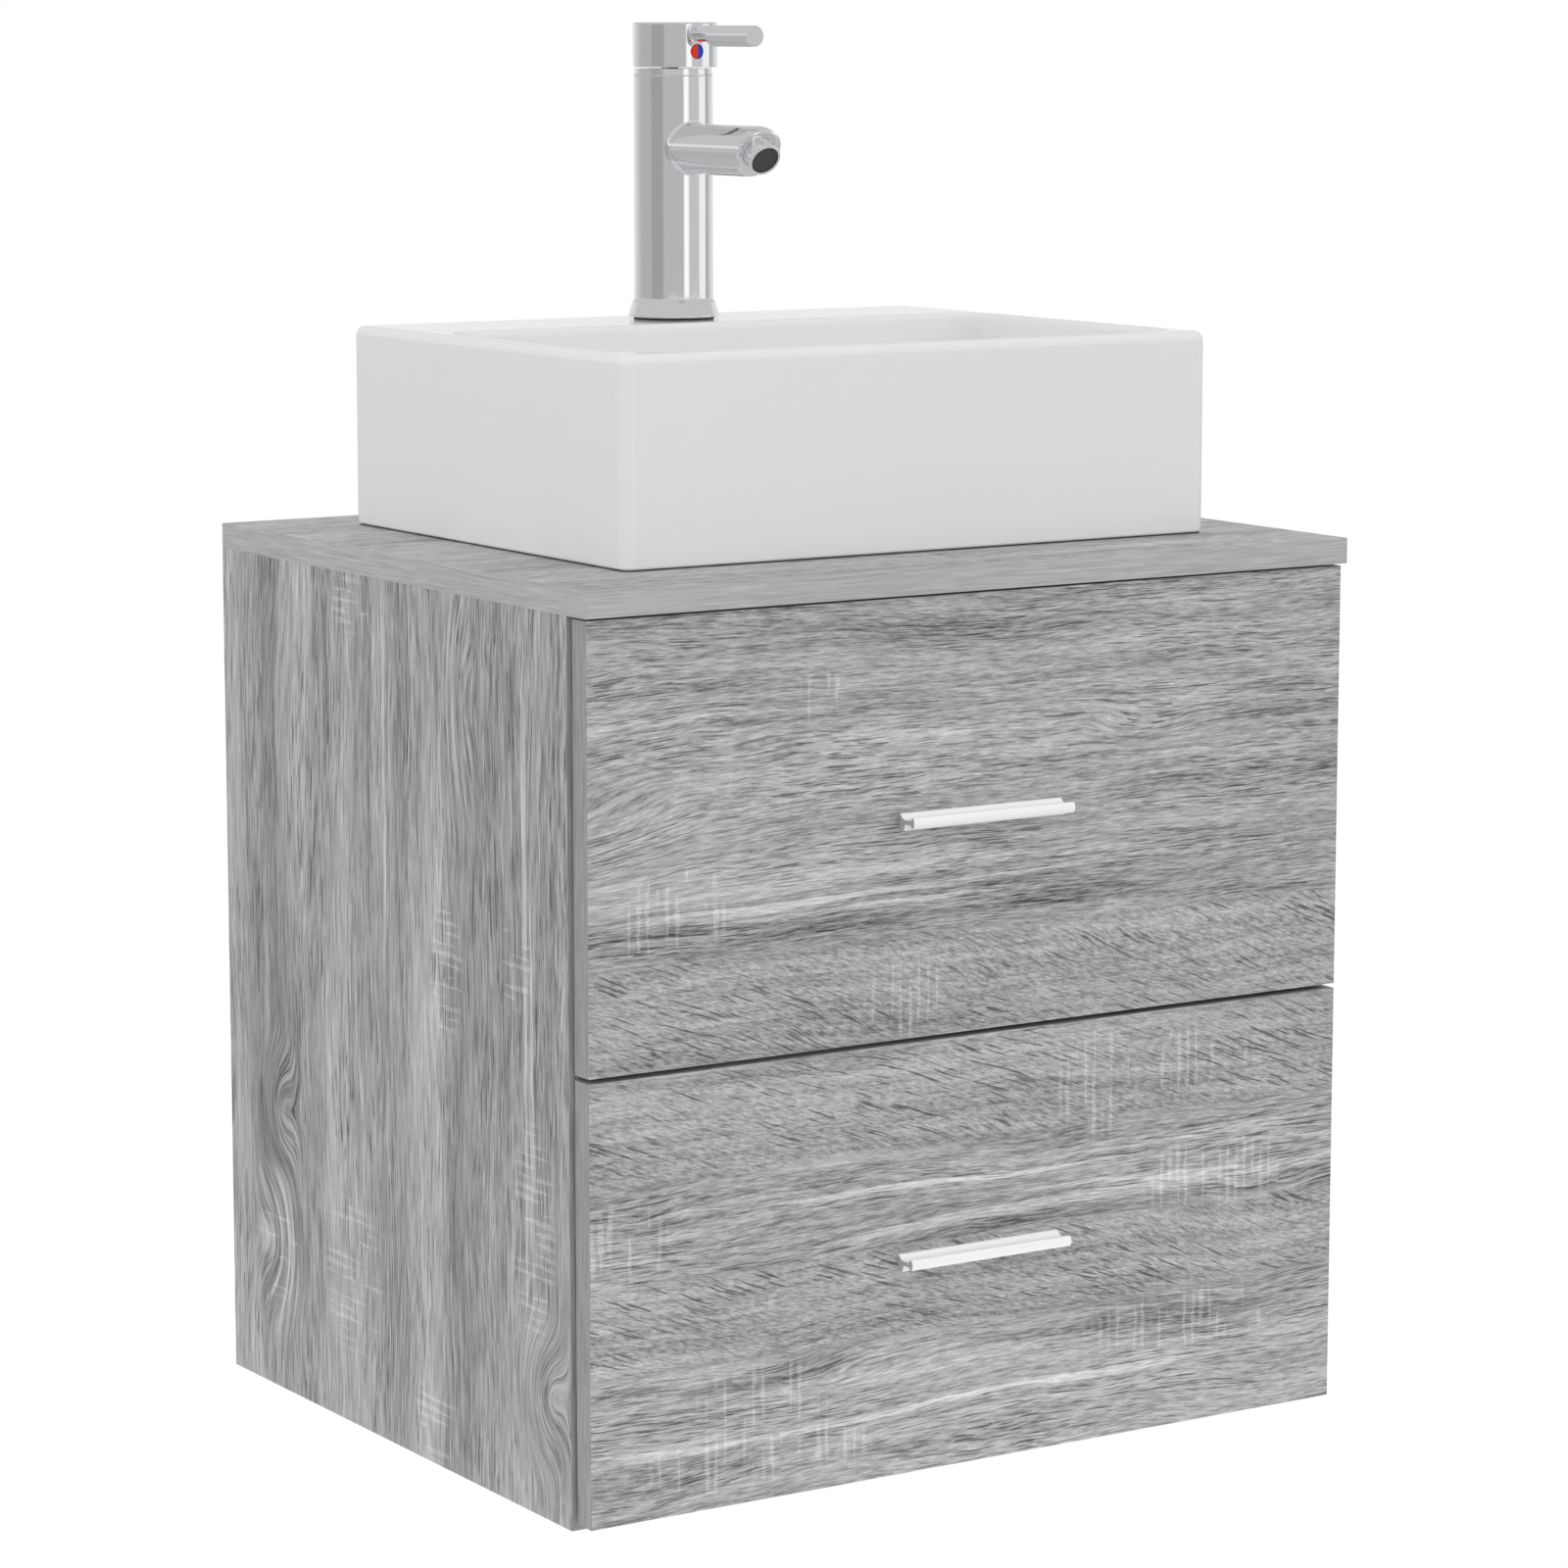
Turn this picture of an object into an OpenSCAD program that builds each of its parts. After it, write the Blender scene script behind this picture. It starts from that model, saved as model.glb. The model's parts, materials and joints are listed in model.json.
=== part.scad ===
// Wall-hung vanity with two drawers, a rectangular vessel basin and a single-lever mixer tap.
// Millimetres. +Z is up, the drawers face -Y, and the left side is -X.
// The origin is the centre of the whole assembly's footprint, at the level of its lowest edge.

/* [Cabinet] */
// Width of the worktop and of the cabinet
cab_w = 550; // [500:1:620]
// Depth of the worktop, from its front edge to the wall
cab_d = 460; // [430:1:500]
// Height from the cabinet's lowest edge to the worktop's upper face
cab_h = 555; // [540:1:600]
// Thickness of the worktop, sides, bottom and rails
board_t = 16; // [15:1:18]
// Distance from the worktop's front edge back to the side panels' front edge
side_setback = 21.2; // [20:0.1:24]

/* [Drawer fronts] */
// Thickness of a drawer front
front_t = 16; // [15:1:18]
// How far the worktop stands out in front of the drawer fronts
front_inset = 3; // [1:0.5:4]
// Gap between a drawer front's end and the cabinet's outer face
front_end_gap = 2.5; // [1:0.5:4]
// Gap between the two drawer fronts
front_gap = 3; // [2:0.5:5]
// Height of the lower front's bottom edge above the cabinet's lowest edge
front_bottom = 4.5; // [0:0.5:8]
// Gap between the upper front and the worktop
front_top_gap = 1.5; // [1:0.5:4]

/* [Drawer boxes] */
// Length of the drawer boxes and of their runners
box_len = 350; // [330:10:360]
// How far a drawer pulls out
drawer_travel = 250; // [200:5:260]
// Thickness of a drawer box's sides and back
box_t = 12; // [10:1:14]
// Height of the upper drawer's box, kept low to pass under the trap
upper_box_h = 110; // [90:5:120]
// Height of the lower drawer's box
lower_box_h = 150; // [100:5:180]
// Clear width of the upper drawer's notch for the trap
notch_w = 160; // [140:5:200]

/* [Handles] */
// Length of a handle
handle_len = 117; // [100:1:160]
// How far a handle stands out from its drawer front
handle_reach = 16; // [15:0.5:20]
// Distance between a handle's two screws
handle_pitch = 64; // [64:32:96]

/* [Basin] */
// Width of the basin
basin_w = 425; // [400:1:450]
// Depth of the basin from front to back
basin_d = 338; // [320:1:350]
// Height of the basin
basin_h = 126; // [120:1:140]
// Distance of the basin's middle to the right of the cabinet's middle
basin_x = 6; // [0:1:10]
// Distance from the worktop's front edge to the basin's front
basin_setback = 71; // [60:1:80]
// Width of the rim at the front and at the ends
rim_w = 13; // [12:1:16]
// Depth of the flat deck behind the bowl, where the tap stands
deck_d = 95.5; // [90:0.5:110]
// Thickness of the ceramic in the bowl's floor, the deck and the inner walls
ceramic_t = 12; // [10:1:14]
// Radius of the bowl's upright corners
bowl_corner_r = 26; // [15:1:40]

/* [Tap] */
// Radius of the tap's column
column_r = 25.6; // [22:0.1:28]
// Height of the tap above the deck
tap_h = 190.5; // [180:0.5:220]
// Distance from the basin's back face forward to the tap's axis
tap_back = 45; // [40:1:50]
// Height of the spout's axis above the deck
spout_z = 110; // [100:1:115]
// Distance from the tap's axis to the centre of the spout's rounded end
spout_reach = 102.4; // [95:0.2:120]
// How far the outlet points below the horizontal, in degrees
outlet_dip = 32; // [20:1:60]
// Radius of the spout
spout_r = 16; // [14:0.5:18]
// Distance from the tap's axis to the lever's tip
lever_reach = 99; // [80:1:120]
// Radius of the lever
lever_r = 6.7; // [5:0.1:7]
// How far the lever lifts to full flow, in degrees
lift_angle = 20; // [15:1:20]

/* [Hidden] */
$fn = 64;
eps = 0.01;

wood = [0.64, 0.64, 0.63];
white_board = [0.90, 0.90, 0.89];
white_metal = [0.95, 0.95, 0.95];
ceramic = [0.96, 0.96, 0.96];
chrome = [0.80, 0.81, 0.83];
zinc = [0.68, 0.69, 0.71];
steel = [0.74, 0.75, 0.76];
rubber = [0.10, 0.10, 0.10];
birch = [0.82, 0.70, 0.50];
nylon = [0.93, 0.93, 0.90];
brass = [0.78, 0.62, 0.32];

// Faces of the cabinet
wall_y = (cab_d + handle_reach - front_inset) / 2;
worktop_front = wall_y - cab_d;
side_front = worktop_front + side_setback;
front_face = worktop_front + front_inset;
front_back = front_face + front_t;
side_top = cab_h - board_t;
outer_x = cab_w / 2;
inner_x = outer_x - board_t;

// Drawer fronts and boxes: each box list is [lowest edge of the sides, height of the sides]
front_h = (side_top - front_top_gap - front_gap - front_bottom) / 2;
lower_front_z = front_bottom;
upper_front_z = front_bottom + front_h + front_gap;
runner_gap = 12.5;
box_x = inner_x - runner_gap;
box_back = front_back + box_len;
lower_box = [30, lower_box_h];
upper_box = [upper_front_z + 27.5, upper_box_h];
box_floor_t = 3;
box_floor_up = 8;
groove = 5;
handle_screw_r = 2;
screw_head_r = 4;
screw_head_t = 2.2;
handle_thread = 4.5;

// The handles are at the middle of the fronts, and their screws enter the handle's thick root
handle_up = front_h / 2 - 2.4;

// Basin
basin_front = worktop_front + basin_setback;
basin_back = basin_front + basin_d;
bed_t = 0.8;
basin_z = cab_h + bed_t;
deck_z = basin_z + basin_h;
basin_corner_r = 8;
bowl_front = basin_front + rim_w;
bowl_back = basin_back - deck_d;
bowl_half = basin_w / 2 - rim_w;
floor_z = basin_z + 2 * ceramic_t;
hollow_front = bowl_back + ceramic_t;
hollow_back = basin_back - ceramic_t;
overflow_z = deck_z - 40;
overflow_r = 11;
overflow_lip = 1.5;
plumbing_hole_r = 25;
duct_half = 20;
duct_bore_half = 12;
duct_d = 16;
duct_top = overflow_z + overflow_r + 4;

// Waste: the tail is a 1 1/4 inch pipe thread
waste_y = (bowl_front + bowl_back) / 2;
waste_r = 20.95;
waste_hole_r = 23;
waste_tail_z = side_top - 70;
waste_groove_z = side_top - 15;
waste_flange_z = floor_z + 2;
waste_flange_t = 3;
waste_flange_r = 32;
waste_wall = 2.45;
seal_r = 31;
waste_top = waste_flange_z + waste_flange_t;
plug_lift = 8;
plug_r = 31.5;
stem_r = 4;
stem_hub_z = side_top + 6;
stem_hub_h = 8;
stem_hub_r = 7;
running_fit = 0.05;

// Notch of the upper drawer, which passes the trap on both sides and in front
notch_front = waste_y - 66;
notch_half = notch_w / 2;

// Tap
tap_y = basin_back - tap_back;
tap_hole_r = 17.5;
base_r = 29.4;
cavity_z = 16;
inlet_r = 4.6;
inlet_x = 7;
inlet_y = -5;
inlet_len = 18;
water_r = 4.9;
mixed_y = -13;
mixed_r = 4;
spout_bore_r = 8;
stud_r = 4;
stud_y = 13;
stud_len = 20;
cavity_r = 20;
gasket_t = 1.5;
gasket_r = 26;
cartridge_r = 17.5;
cartridge_z = 120;
cartridge_step_z = 147;
cartridge_step_r = 14;
cartridge_top = 156;
rotor_z = 134.3;
rotor_top = 160.4;
rotor_r = 12;
neck_z = 156.5;
neck_top = 161;
head_z = 162;
head_r = 27.3;
head_y = -2.5;
pivot_y = 4;
pivot_z = 157;
tilt_room = 0.5;
stem_half = 4;
stem_slot_z = 148;
pin_half = 9;
pin_r = 2;
lever_z = 182;
lever_neck_r = 5.2;
lever_neck_z = 183.3;
lever_neck_y = -50;
lever_root_y = -14;
mark_z = 172;
mark_r = 4.8;
mark_seat = 1.8;
mark_t = 1.4;
head_cavity_r = 18;
head_cavity_top = 175;
mouth = 5;
aerator_r = 11;
aerator_out = 5.5;
aerator_wall = 2;
mesh_t = 3;
clamp_r = 27;
clamp_mouth_r = 13;
clamp_seal_t = 3;
clamp_washer_t = 2;

// Runners: the channel is 32 high, and its middle is 8 above the drawer side's lower edge
channel_h = 32;
channel_w = 10.2;
sheet_t = 1.2;
channel_up = 8;
roller_r = 8;
roller_clear = 0.3;
roller_pin_r = 2.5;
pin_head_r = 3.6;
runner_screw_r = 1.75;
runner_screw_len = 11;
runner_head_r = 3.4;
runner_head_t = 1.1;
front_roller_y = front_back + 14.5;
rear_roller_y = box_back - 5.5;
front_roller_up = 4 - roller_clear - roller_r;
rear_roller_up = sheet_t - channel_h / 2 + roller_clear + roller_r;

// Places of the dowels and cam fittings along the joints, and of the runners' screws
dowel_r = 4;
cam_bolt_r = 3;
cam_r = 7.5;
cam_reach = 34;
cam_top = 4.5;
bottom_cams = [-120, 150];
bottom_dowels = [-160, 110];
top_cams = [-120, 130];
top_dowels = [-160, 170];
top_rail_z = [side_top - 90, side_top];
bottom_rail_z = [board_t, board_t + 80];
rail_cams = [top_rail_z[0] + 60, bottom_rail_z[0] + 50];
rail_dowels = [top_rail_z[0] + 25, bottom_rail_z[0] + 20];
runner_screw_y = [-150, 0, 120];
wall_hole_x = 200;
wall_hole_z = [56, 494];
wall_hole_r = 4;

// ---- shared shapes ----

// Box between two limits on each axis
module block(x, y, z) {
    translate([x[0], y[0], z[0]])
        cube([x[1] - x[0], y[1] - y[0], z[1] - z[0]]);
}

// Cylinders along each axis, between two limits
module rod_x(r, x, y, z) {
    translate([x[0], y, z]) rotate([0, 90, 0]) cylinder(r = r, h = x[1] - x[0]);
}

module rod_y(r, x, y, z) {
    translate([x, y[0], z]) rotate([-90, 0, 0]) cylinder(r = r, h = y[1] - y[0]);
}

module rod_z(r, x, y, z) {
    translate([x, y, z[0]]) cylinder(r = r, h = z[1] - z[0]);
}

// Box with its four upright edges rounded
module upright_rounded(x, y, z, r) {
    block([x[0] + r, x[1] - r], y, z);
    block(x, [y[0] + r, y[1] - r], z);
    for (cx = [x[0] + r, x[1] - r])
        for (cy = [y[0] + r, y[1] - r])
            rod_z(r, cx, cy, z);
}

// Repeats its children on the right and, mirrored, on the left
module both_sides() {
    children();
    mirror([1, 0, 0]) children();
}

module at_tap() {
    translate([basin_x, tap_y, deck_z]) children();
}

// ---- carcass joints ----

// Puts its children on every carcass joint: +X points into the panel that is drilled on its face,
// and -Z points to the visible face of the panel that is drilled in its edge
module joint_places(bottom_at, rail_at, top_at) {
    both_sides() {
        for (y = bottom_at)
            translate([inner_x, y, board_t / 2]) children();
        for (z = rail_at)
            translate([inner_x, wall_y - board_t / 2, z]) rotate([-90, 0, 0]) children();
        for (y = top_at)
            translate([outer_x - board_t / 2, y, side_top])
                rotate([0, -90, 0]) rotate([180, 0, 0]) children();
    }
}

module dowel_shape() {
    rod_x(dowel_r, [-20, 10], 0, 0);
}

module cam_bolt_shape() {
    rod_x(cam_bolt_r, [-cam_reach, 11], 0, 0);
}

module cam_lock_shape() {
    rod_z(cam_r, -cam_reach, 0, [-board_t / 2, cam_top]);
}

module carcass_drilling() {
    joint_places(bottom_dowels, rail_dowels, top_dowels) dowel_shape();
    joint_places(bottom_cams, rail_cams, top_cams) cam_bolt_shape();
    joint_places(bottom_cams, rail_cams, top_cams) cam_lock_shape();
}

module carcass_dowels() {
    color(birch) joint_places(bottom_dowels, rail_dowels, top_dowels) dowel_shape();
}

module cam_bolts() {
    color(zinc) joint_places(bottom_cams, rail_cams, top_cams) cam_bolt_shape();
}

// Each lock is a disc with a bore for its bolt and a cross slot for the screwdriver
module cam_locks() {
    color(zinc)
        joint_places(bottom_cams, rail_cams, top_cams)
            difference() {
                cam_lock_shape();
                cam_bolt_shape();
                translate([-cam_reach, 0, -board_t / 2]) {
                    block([-1, 1], [-5, 5], [-eps, 2]);
                    block([-5, 5], [-1, 1], [-eps, 2]);
                }
            }
}

// ---- carcass ----

module worktop() {
    color(wood)
        difference() {
            block([-outer_x, outer_x], [worktop_front, wall_y], [side_top, cab_h]);
            rod_z(plumbing_hole_r, basin_x, waste_y, [side_top - 1, cab_h + 1]);
            rod_z(plumbing_hole_r, basin_x, tap_y, [side_top - 1, cab_h + 1]);
            joint_places([], [], top_dowels) dowel_shape();
            joint_places([], [], top_cams) cam_bolt_shape();
        }
}

module side_panel_right() {
    color(wood)
        difference() {
            block([inner_x, outer_x], [side_front, wall_y], [0, side_top]);
            carcass_drilling();
            for (box = [lower_box, upper_box]) runner_screw_row(box);
        }
}

module side_panel_left() {
    mirror([1, 0, 0]) side_panel_right();
}

module bottom_panel() {
    color(wood)
        difference() {
            block([-inner_x, inner_x], [side_front, wall_y], [0, board_t]);
            joint_places(bottom_dowels, [], []) dowel_shape();
            joint_places(bottom_cams, [], []) cam_bolt_shape();
            joint_places(bottom_cams, [], []) cam_lock_shape();
        }
}

// A rail across the back, with a hole near each end for a screw into the wall
module back_rail(z, hole_z) {
    color(white_board)
        difference() {
            block([-inner_x, inner_x], [wall_y - board_t, wall_y], z);
            joint_places([], rail_dowels, []) dowel_shape();
            joint_places([], rail_cams, []) cam_bolt_shape();
            joint_places([], rail_cams, []) cam_lock_shape();
            both_sides() rod_y(wall_hole_r, wall_hole_x, [wall_y - board_t - 1, wall_y + 1], hole_z);
        }
}

module top_back_rail() {
    back_rail(top_rail_z, wall_hole_z[1]);
}

module bottom_back_rail() {
    back_rail(bottom_rail_z, wall_hole_z[0]);
}

// ---- runners and rollers, drawn for the right side ----

function channel_z(box) = box[0] + channel_up;

module runner_screw_row(box) {
    for (y = runner_screw_y)
        rod_x(runner_screw_r, [inner_x - sheet_t, inner_x + runner_screw_len], y, channel_z(box));
}

module runner_screws() {
    color(zinc)
        both_sides()
            for (box = [lower_box, upper_box]) {
                runner_screw_row(box);
                for (y = runner_screw_y)
                    rod_x(runner_head_r, [inner_x - sheet_t - runner_head_t, inner_x - sheet_t], y,
                        channel_z(box));
            }
}

// Channel on the cabinet's side, with the fixed pin of its front roller
module cabinet_runner(box) {
    z = channel_z(box);
    pin_z = z + front_roller_up;
    half = channel_h / 2;
    y = [side_front + 2, box_back + 4];
    color(white_metal)
        difference() {
            union() {
                block([inner_x - sheet_t, inner_x], y, [z - half, z + half]);
                block([inner_x - channel_w, inner_x], y, [z - half, z - half + sheet_t]);
                block([inner_x - channel_w, inner_x], [y[0] + 40, y[1]], [z + half - sheet_t, z + half]);
                rod_x(roller_pin_r, [inner_x - 10, inner_x - sheet_t], front_roller_y, pin_z);
                rod_x(pin_head_r, [inner_x - 10.4, inner_x - 9.6], front_roller_y, pin_z);
            }
            runner_screw_row(box);
        }
}

// Profile on the drawer's side: a foot under the side, a web on its face and a flange that rides
// on the cabinet's roller, with the fixed pin of the drawer's rear roller
module drawer_runner(box) {
    z = channel_z(box);
    pin_z = z + rear_roller_up;
    y = [front_back, box_back];
    flange_z = z + 4;
    color(white_metal) {
        block([box_x - 10, box_x + sheet_t], y, [box[0] - sheet_t, box[0]]);
        block([box_x, box_x + sheet_t], y, [box[0] - sheet_t, flange_z + sheet_t]);
        block([box_x, inner_x - 2.4], y, [flange_z, flange_z + sheet_t]);
        rod_x(roller_pin_r, [box_x + sheet_t, box_x + 9.4], rear_roller_y, pin_z);
        rod_x(pin_head_r, [box_x + 9.1, box_x + 9.6], rear_roller_y, pin_z);
    }
}

// Roller with its bore on a runner's pin
module roller(x, y, z) {
    color(nylon)
        difference() {
            rod_x(roller_r, x, y, z);
            rod_x(roller_pin_r + running_fit, [x[0] - 1, x[1] + 1], y, z);
        }
}

module cabinet_roller(box) {
    roller([inner_x - 9.2, inner_x - 2.6], front_roller_y, channel_z(box) + front_roller_up);
}

module drawer_roller(box) {
    roller([box_x + 1.6, box_x + 8.7], rear_roller_y, channel_z(box) + rear_roller_up);
}

module upper_runner_right() { cabinet_runner(upper_box); }
module upper_runner_left() { mirror([1, 0, 0]) cabinet_runner(upper_box); }
module lower_runner_right() { cabinet_runner(lower_box); }
module lower_runner_left() { mirror([1, 0, 0]) cabinet_runner(lower_box); }
module upper_drawer_runners() { both_sides() drawer_runner(upper_box); }
module lower_drawer_runners() { both_sides() drawer_runner(lower_box); }
module upper_cabinet_rollers() { both_sides() cabinet_roller(upper_box); }
module lower_cabinet_rollers() { both_sides() cabinet_roller(lower_box); }
module upper_drawer_rollers() { both_sides() drawer_roller(upper_box); }
module lower_drawer_rollers() { both_sides() drawer_roller(lower_box); }

// ---- drawers ----

module drawer_front(z, box) {
    color(wood)
        difference() {
            block([-outer_x + front_end_gap, outer_x - front_end_gap],
                [front_face, front_back], [z, z + front_h]);
            floor_panel(box);
            both_sides()
                rod_y(handle_screw_r, handle_pitch / 2, [front_face - 1, front_back + 1], z + handle_up);
        }
}

module floor_panel(box) {
    z = box[0] + box_floor_up;
    half = box_x - box_t + groove;
    block([-half, half], [front_back - groove, box_back], [z, z + box_floor_t]);
}

module drawer_side(box) {
    color(white_board)
        difference() {
            block([box_x - box_t, box_x], [front_back, box_back], [box[0], box[0] + box[1]]);
            floor_panel(box);
        }
}

// End profile of the handle: a root on the front with a hollow top, a web and a rounded lip
module handle_profile() {
    lip_r = 4.3;
    hollow_r = 6;
    web_top = 1;
    polygon([
        [0, -5.6], [5.2, -5.6], [6, -1.2], [12.6, -1.2], [13, -3.2],
        for (a = [-48:16:48]) [handle_reach - lip_r + lip_r * cos(a), lip_r * sin(a)],
        [13.6, 3.2], [12.9, 2.6], [12.7, web_top],
        for (a = [270:-15.5:208])
            [0.8 + hollow_r + hollow_r * cos(a), web_top + hollow_r + hollow_r * sin(a)],
        [0, 4.2]
    ]);
}

module handle(z) {
    color(white_metal)
        difference() {
            translate([handle_len / 2, front_face, z + front_h / 2])
                rotate([90, 0, -90]) linear_extrude(handle_len) handle_profile();
            both_sides() handle_screw_shank(z);
        }
}

module handle_screw_shank(z) {
    rod_y(handle_screw_r, handle_pitch / 2, [front_face - handle_thread, front_back], z + handle_up);
}

module handle_screws(z) {
    color(zinc)
        both_sides() {
            handle_screw_shank(z);
            rod_y(screw_head_r, handle_pitch / 2, [front_back, front_back + screw_head_t], z + handle_up);
        }
}

module upper_front() { drawer_front(upper_front_z, upper_box); }
module lower_front() { drawer_front(lower_front_z, lower_box); }
module upper_handle() { handle(upper_front_z); }
module lower_handle() { handle(lower_front_z); }
module upper_handle_screws() { handle_screws(upper_front_z); }
module lower_handle_screws() { handle_screws(lower_front_z); }
module upper_side_right() { drawer_side(upper_box); }
module upper_side_left() { mirror([1, 0, 0]) drawer_side(upper_box); }
module lower_side_right() { drawer_side(lower_box); }
module lower_side_left() { mirror([1, 0, 0]) drawer_side(lower_box); }

module drawer_back(box, x) {
    color(white_board)
        block(x, [box_back - box_t, box_back], [box[0] + box_floor_up + box_floor_t, box[0] + box[1]]);
}

module lower_back() {
    drawer_back(lower_box, [-box_x + box_t, box_x - box_t]);
}

module upper_back() {
    both_sides() drawer_back(upper_box, [notch_half + box_t, box_x - box_t]);
}

module lower_floor() {
    color(white_board) floor_panel(lower_box);
}

module upper_floor() {
    color(white_board)
        difference() {
            floor_panel(upper_box);
            block([-notch_half, notch_half], [notch_front + box_t, box_back + 1],
                [upper_box[0], upper_box[0] + 20]);
        }
}

module upper_notch_walls() {
    z = [upper_box[0] + box_floor_up + box_floor_t, upper_box[0] + upper_box[1]];
    color(white_board) {
        both_sides() block([notch_half, notch_half + box_t], [notch_front + box_t, box_back], z);
        block([-notch_half - box_t, notch_half + box_t], [notch_front, notch_front + box_t], z);
    }
}

// ---- basin ----

// Outer block, less the bowl, the hollow under the deck and the recess under the floor
module basin() {
    left = basin_x - basin_w / 2;
    right = basin_x + basin_w / 2;
    color(ceramic)
        difference() {
            union() {
                difference() {
                    upright_rounded([left, right], [basin_front, basin_back], [basin_z, deck_z],
                        basin_corner_r);
                    upright_rounded([basin_x - bowl_half, basin_x + bowl_half], [bowl_front, bowl_back],
                        [floor_z, deck_z + 1], bowl_corner_r);
                    block([left + rim_w, right - rim_w], [basin_front + rim_w, basin_back - rim_w],
                        [basin_z - 1, basin_z + ceramic_t]);
                    block([left + rim_w, right - rim_w], [hollow_front, hollow_back],
                        [basin_z - 1, deck_z - ceramic_t]);
                }
                overflow_duct();
            }
            rod_z(waste_hole_r, basin_x, waste_y, [basin_z - 1, floor_z + 1]);
            rod_z(tap_hole_r, basin_x, tap_y, [deck_z - ceramic_t - 1, deck_z + 1]);
            rod_y(overflow_r, basin_x, [bowl_back - 1, hollow_front + 3], overflow_z);
            overflow_channel();
        }
}

// Ceramic duct from the overflow hole down the back of the bowl and under its floor to the waste
module overflow_duct() {
    x = [basin_x - duct_half, basin_x + duct_half];
    block(x, [hollow_front - 1, hollow_front + duct_d], [basin_z, duct_top]);
    block(x, [waste_y + waste_r, hollow_front + duct_d], [basin_z, basin_z + ceramic_t + 1]);
    rod_z(waste_hole_r + 8, basin_x, waste_y, [basin_z, basin_z + ceramic_t + 1]);
}

module overflow_channel() {
    x = [basin_x - duct_bore_half, basin_x + duct_bore_half];
    z = [basin_z + 3, basin_z + ceramic_t - 2];
    block(x, [hollow_front + 2, hollow_front + duct_d - 5], [z[0], duct_top - 4]);
    block(x, [waste_y + waste_r - 1, hollow_front + duct_d - 5], z);
}

// Thin bead of silicone between the basin and the worktop, set in from the basin's edge
module basin_bed() {
    inset = 3;
    bead = 6;
    left = basin_x - basin_w / 2 + inset;
    right = basin_x + basin_w / 2 - inset;
    color(rubber)
        difference() {
            block([left, right], [basin_front + inset, basin_back - inset], [cab_h, basin_z]);
            block([left + bead, right - bead], [basin_front + inset + bead, basin_back - inset - bead],
                [cab_h - 1, basin_z + 1]);
        }
}

module overflow_ring() {
    color(chrome)
        difference() {
            union() {
                rod_y(overflow_r, basin_x, [bowl_back, bowl_back + 8], overflow_z);
                rod_y(overflow_r + 3, basin_x, [bowl_back - overflow_lip, bowl_back], overflow_z);
            }
            rod_y(overflow_r - 2, basin_x, [bowl_back - 2, bowl_back + 9], overflow_z);
        }
}

// ---- waste and plug ----

// Flanged tube with slots for the overflow, a groove that ends the trap's thread and a spider
// that guides the plug's stem
module waste_body() {
    bore_r = waste_r - waste_wall;
    slot_z = [basin_z + 3, basin_z + ceramic_t - 2];
    hub_z = [stem_hub_z, stem_hub_z + stem_hub_h];
    color(chrome)
        translate([basin_x, waste_y, 0])
            difference() {
                union() {
                    difference() {
                        union() {
                            rod_z(waste_flange_r, 0, 0, [waste_flange_z, waste_top]);
                            rod_z(waste_r, 0, 0, [waste_tail_z, waste_top]);
                        }
                        rod_z(bore_r, 0, 0, [waste_tail_z - 1, waste_top + 1]);
                        block([-30, 30], [-6, 6], slot_z);
                        block([-6, 6], [-30, 30], slot_z);
                        difference() {
                            rod_z(waste_r + 1, 0, 0, [waste_groove_z, waste_groove_z + 1]);
                            rod_z(waste_r - 0.6, 0, 0, [waste_groove_z - 1, waste_groove_z + 2]);
                        }
                    }
                    rod_z(stem_hub_r, 0, 0, hub_z);
                    block([-bore_r - 1, bore_r + 1], [-1.5, 1.5], hub_z);
                    block([-1.5, 1.5], [-bore_r - 1, bore_r + 1], hub_z);
                }
                rod_z(stem_r + running_fit, 0, 0, [hub_z[0] - 1, hub_z[1] + 1]);
            }
}

module waste_ring(outer_r, z, shade) {
    color(shade)
        difference() {
            rod_z(outer_r, basin_x, waste_y, z);
            rod_z(waste_r, basin_x, waste_y, [z[0] - 1, z[1] + 1]);
        }
}

module waste_seal() {
    waste_ring(seal_r, [floor_z, waste_flange_z], rubber);
}

module waste_washer() {
    waste_ring(seal_r, [side_top - 4, side_top], rubber);
}

module waste_nut() {
    color(chrome)
        difference() {
            translate([basin_x, waste_y, side_top - 13]) cylinder(r = seal_r, h = 9, $fn = 6);
            rod_z(waste_r, basin_x, waste_y, [side_top - 14, side_top - 3]);
        }
}

// Plug in its raised position: a low dome on a stem
module plug_cap() {
    color(chrome)
        translate([basin_x, waste_y, waste_top + plug_lift])
            rotate_extrude()
                polygon([[0, 0], [plug_r - 0.5, 0], [plug_r, 0.8], [plug_r - 0.5, 1.8], [24, 3.4], [12, 4.4],
                    [0, 4.7]]);
}

module plug_stem() {
    color(steel)
        rod_z(stem_r, basin_x, waste_y, [stem_hub_z - 14, waste_top + plug_lift]);
}

// ---- tap: fixed pieces ----

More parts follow.
